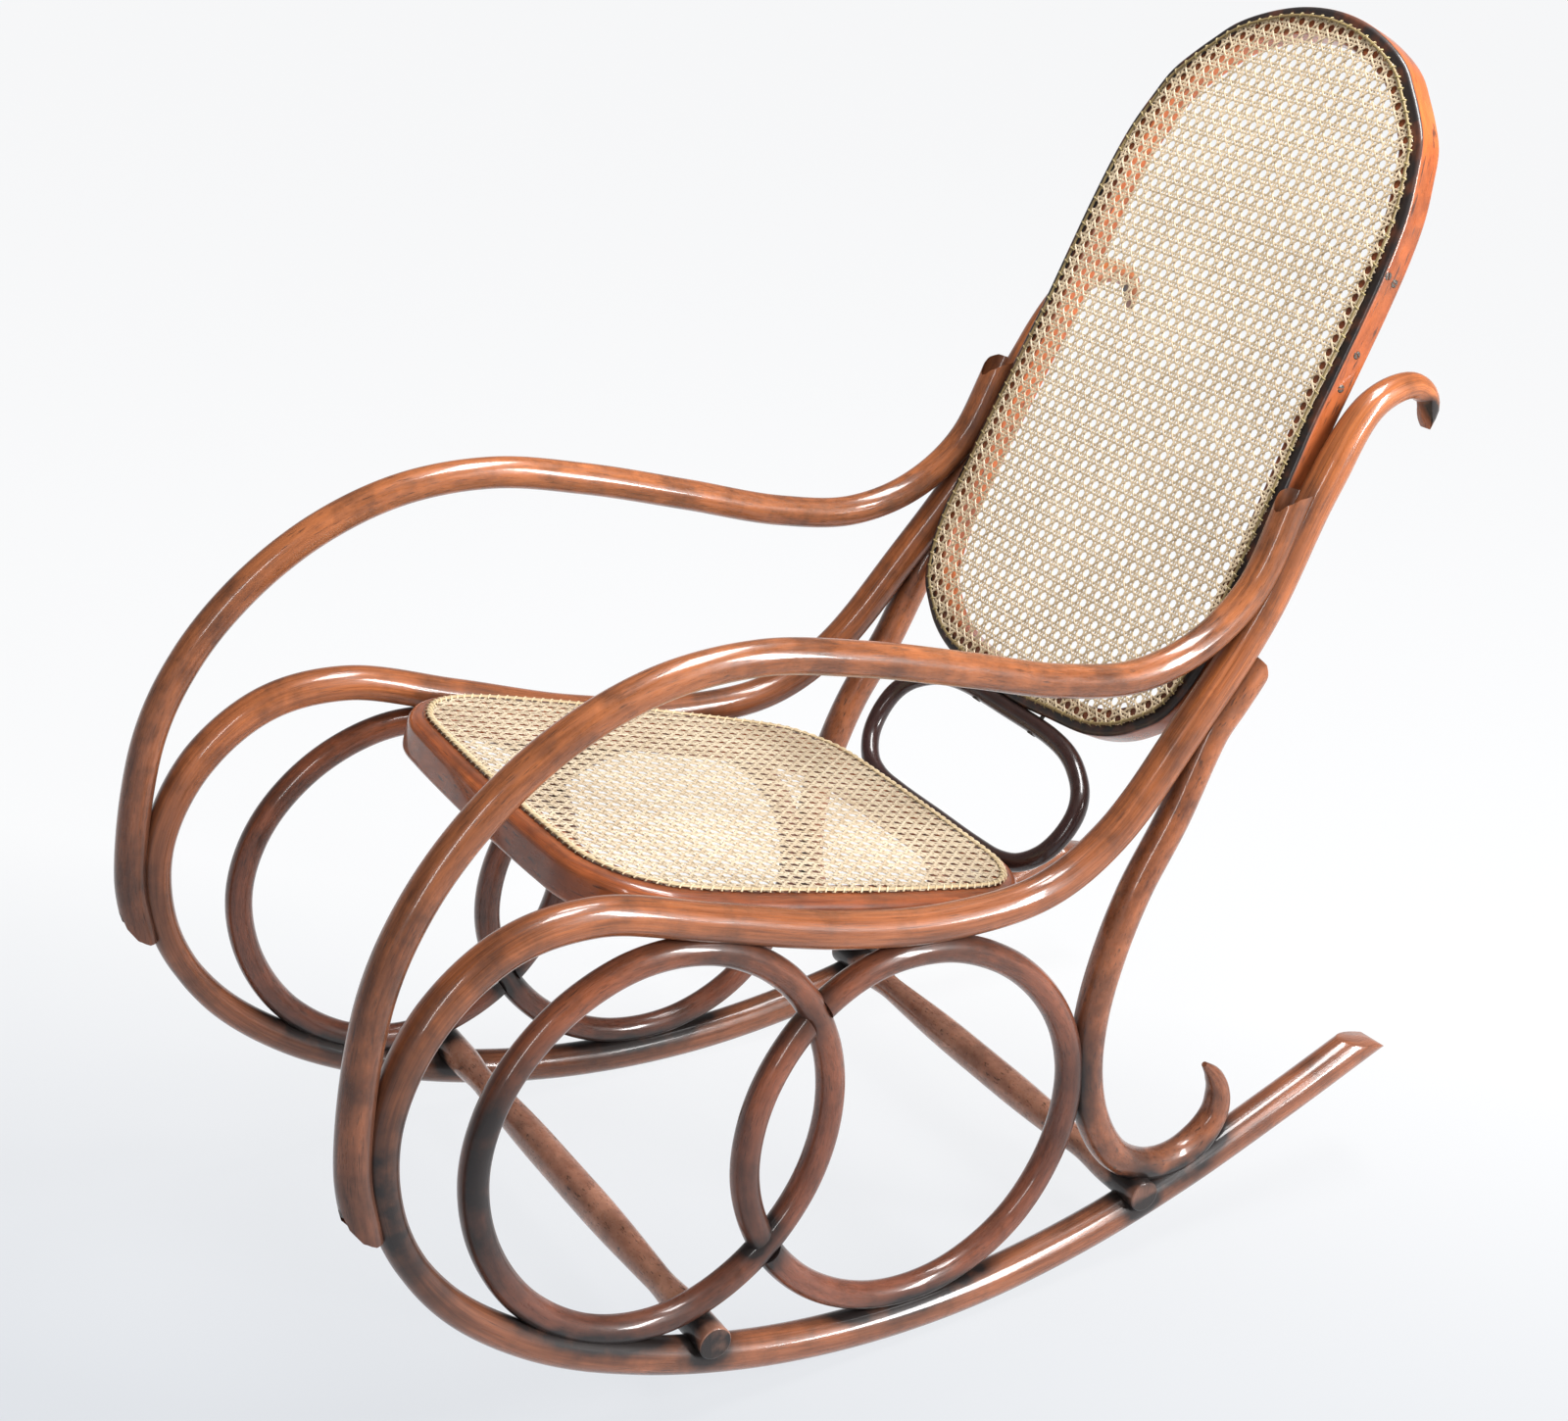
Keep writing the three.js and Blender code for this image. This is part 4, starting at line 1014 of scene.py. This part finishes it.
def slottedScrew(name, kind, matrix, turn, node):
    s = screw[kind]
    radius, head = s["wide"] / 2, screw["head"]
    deselectAll()
    bpy.ops.mesh.primitive_cylinder_add(vertices=screw["sides"], radius=radius, depth=head,
                                        location=(0, 0, -head / 2))
    piece = bpy.context.object
    bpy.ops.object.transform_apply()
    pickFaces(piece, lambda face: face.normal.z > 0.9)
    bpy.ops.mesh.bevel(offset=screw["round"], segments=3, affect="EDGES")
    bpy.ops.object.mode_set(mode="OBJECT")
    pickFaces(piece, lambda face: face.normal.z < -0.9)
    bpy.ops.mesh.inset(thickness=radius - screw["shank"])
    bpy.ops.mesh.extrude_region_move(TRANSFORM_OT_translate={"value": (0, 0, -s["long"])})
    bpy.ops.object.mode_set(mode="OBJECT")
    deselectAll()
    bpy.ops.mesh.primitive_cube_add(size=1)
    cutter = bpy.context.object
    slot = (s["wide"] * screw["slotLong"], screw["slot"], screw["slotDeep"], 1)
    cutter.data.transform(Matrix.Diagonal(slot))
    carve(piece, cutter)
    settle(piece, matrix @ Matrix.Rotation(math.radians(turn), 4, "Z"))
    faceOutwards(piece)
    return finishPiece(piece, name, screwIron, [node], smooth=35)


def axesMatrix(origin, outwards, first):
    second = outwards.cross(first)
    return Matrix.Translation(origin) @ Matrix((first, second, outwards)).transposed().to_4x4()


armPath, armLength = smoothPath(sideFrame["arm"]["line"], False, 1.0)
for place, turn, level in zip(screw["arm"]["places"], screw["arm"]["turns"], ("lower", "upper")):
    k = round(place / armLength * (len(armPath) - 1))
    along = (armPath[k + 1] - armPath[k - 1]).normalized()
    outwards = Vector((-along.y, along.x, 0))
    matrix = sideMatrix() @ axesMatrix(armPath[k] + outwards * screw["arm"]["proud"], outwards, along)
    stem = "arm_screw_" + level
    near = slottedScrew(stem + "_head_left", "arm", matrix, turn, stem + "_left")
    far = mirrorCopy(near, "copy")
    finishPiece(far, stem + "_head_right", screwIron, [stem + "_right"], smooth=35)
backPath = smoothPath(wholeEdge(back["edge"]), True, 1.0)[0]
backHigh = back["edge"][-1][1]
for k, share in enumerate(screw["back"]["shares"]):
    spot = min((p for p in backPath if p.x > 90), key=lambda p: abs(p.y - share * backHigh))
    origin = Vector((spot.x + screw["back"]["proud"], spot.y, -screw["back"]["deeps"][k]))
    matrix = panelMatrix(*back["place"]) @ axesMatrix(origin, Vector((1, 0, 0)), Vector((0, 1, 0)))
    number = str(k + 1)
    slottedScrew("back_screw_head_" + number, "back", matrix, screw["back"]["turns"][k],
                 "back_screw_" + number)
for side, turn, word in zip((1, -1), screw["oval"]["turns"], ("left", "right")):
    origin = Vector((side * screw["oval"]["spread"], screw["oval"]["up"], 0))
    matrix = panelMatrix(*oval["place"]) @ axesMatrix(origin, Vector((0, -1, 0)), Vector((1, 0, 0)))
    slottedScrew("oval_screw_head_" + word, "oval", matrix, turn, "oval_screw_" + word)
print("screws driven")


# studio

studio = {
    "size": 40,
    "floor": 0.66, "glow": 0.93,    # the floor's own white, and how much of it needs no lamp
    # painted shade: the floor's glow turns bluish grey towards the camera and white at the back
    "nearTint": (0.60, 0.64, 0.70, 1), "farTint": (0.985, 0.99, 1.0, 1), "tintSpan": (-1.5, 0.6),
    "sky": (0.93, 0.965, 1.0, 1),
    "low": 0.46, "high": 0.13,      # the world's light at the horizon and overhead
    "skySpan": (0.06, 0.42),
    "lamps": {
        "overheadLamp": {"place": (0.2, 0.6, 2.6), "aim": (0, 0, 0.4),
                         "size": (1.4, 0.6), "power": 80},
        "sideLamp": {"place": (2.1, 1.35, 1.5), "aim": (0.1, 0.2, 0.6),
                     "size": (0.35, 1.5), "power": 92},
        "frontLamp": {"place": (2.0, -1.9, 1.9), "aim": (0.1, -0.1, 0.5),
                      "size": (0.2, 1.4), "power": 18},
    },
}


def addLamp(name, lampPlan):
    light = bpy.data.lights.new(name, "AREA")
    light.shape = "RECTANGLE"
    light.size, light.size_y = lampPlan["size"]
    light.energy = lampPlan["power"]
    lamp = bpy.data.objects.new(name, light)
    bpy.context.scene.collection.objects.link(lamp)
    lamp.location = lampPlan["place"]
    aim = Vector(lampPlan["aim"]) - Vector(lampPlan["place"])
    lamp.rotation_euler = aim.to_track_quat("-Z", "Y").to_euler()


def buildStudio(floorHeight):
    deselectAll()
    bpy.ops.mesh.primitive_plane_add(size=studio["size"])
    floor = bpy.context.object
    floor.name = "studioFloor"
    settle(floor, Matrix.Translation((0, 0, floorHeight)))
    material = bpy.data.materials.new("studioFloor")
    material.use_nodes = True
    tree = material.node_tree
    tree.nodes.clear()
    white = studio["floor"]
    paint = addNode(tree, "BsdfDiffuse", (0, -100), {0: (white, white, white, 1)})
    place = addNode(tree, "TexCoord", (-1000, 0)).outputs["Object"]
    spot = addNode(tree, "SeparateXYZ", (-800, 0), {0: place})
    # painted shade on the floor: its glow darkens and turns bluish towards the camera
    depth = addMath(tree, (-600, 0), "SUBTRACT", spot.outputs[1], spot.outputs[0])
    tint = addMix(tree, (-250, 50), addRange(tree, (-420, 0), depth, *studio["tintSpan"]),
                  studio["nearTint"], studio["farTint"])
    glow = addNode(tree, "Emission", (0, 100), {0: tint})
    rays = addNode(tree, "LightPath", (-600, 300)).outputs
    seen = addMath(tree, (-400, 300), "MAXIMUM", rays["Is Camera Ray"], rays["Is Glossy Ray"])
    seen = addMath(tree, (-250, 300), "MAXIMUM", seen, rays["Is Transmission Ray"])
    seen = addMath(tree, (-100, 300), "MULTIPLY", seen, studio["glow"])
    mix = addNode(tree, "MixShader", (300, 0), {0: seen, 1: paint.outputs[0], 2: glow.outputs[0]})
    addNode(tree, "OutputMaterial", (600, 0), {0: mix.outputs[0]})
    floor.data.materials.append(material)

    world = bpy.data.worlds.new("studio")
    bpy.context.scene.world = world
    world.use_nodes = True
    tree = world.node_tree
    tree.nodes.clear()
    where = addNode(tree, "TexCoord", (-800, 0)).outputs["Generated"]
    height = addNode(tree, "SeparateXYZ", (-600, 0), {0: where}).outputs[2]
    strength = addRange(tree, (-400, 0), height, *studio["skySpan"], studio["low"], studio["high"])
    sky = addNode(tree, "Background", (0, 0), {0: studio["sky"], 1: strength})
    addNode(tree, "OutputWorld", (300, 0), {0: sky.outputs[0]})
    for name, lampPlan in studio["lamps"].items():
        addLamp(name, lampPlan)


view = {
    "place": (1750, -1046, 1406),   # in the side frames' own millimetres, before the lean
    "forward": (-0.7781, 0.4704, -0.4162), "up": (-0.3654, 0.2, 0.9091),
    "lens": 60.52, "sensor": 36, "shift": (-0.00365, 0.00127),
}


def placeCamera():
    data = bpy.data.cameras.new("photoCamera")
    camera = bpy.data.objects.new("photoCamera", data)
    bpy.context.scene.collection.objects.link(camera)
    lean = Matrix.Rotation(chairPlace["lean"], 3, "X")
    forward = (lean @ Vector(view["forward"])).normalized()
    up = lean @ Vector(view["up"])
    up = (up - forward * up.dot(forward)).normalized()
    turn = Matrix((forward.cross(up), up, -forward)).transposed()
    camera.matrix_world = Matrix.Translation(chairMatrix() @ Vector(view["place"])) @ turn.to_4x4()
    data.sensor_fit = "HORIZONTAL"
    data.sensor_width = view["sensor"]
    data.lens = view["lens"]
    data.shift_x, data.shift_y = view["shift"]
    bpy.context.scene.camera = camera


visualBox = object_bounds()
buildStudio(min(corner[2] for corner in visualBox))
placeCamera()
bpy.context.scene.view_settings.view_transform = "Standard"
print("studio ready")
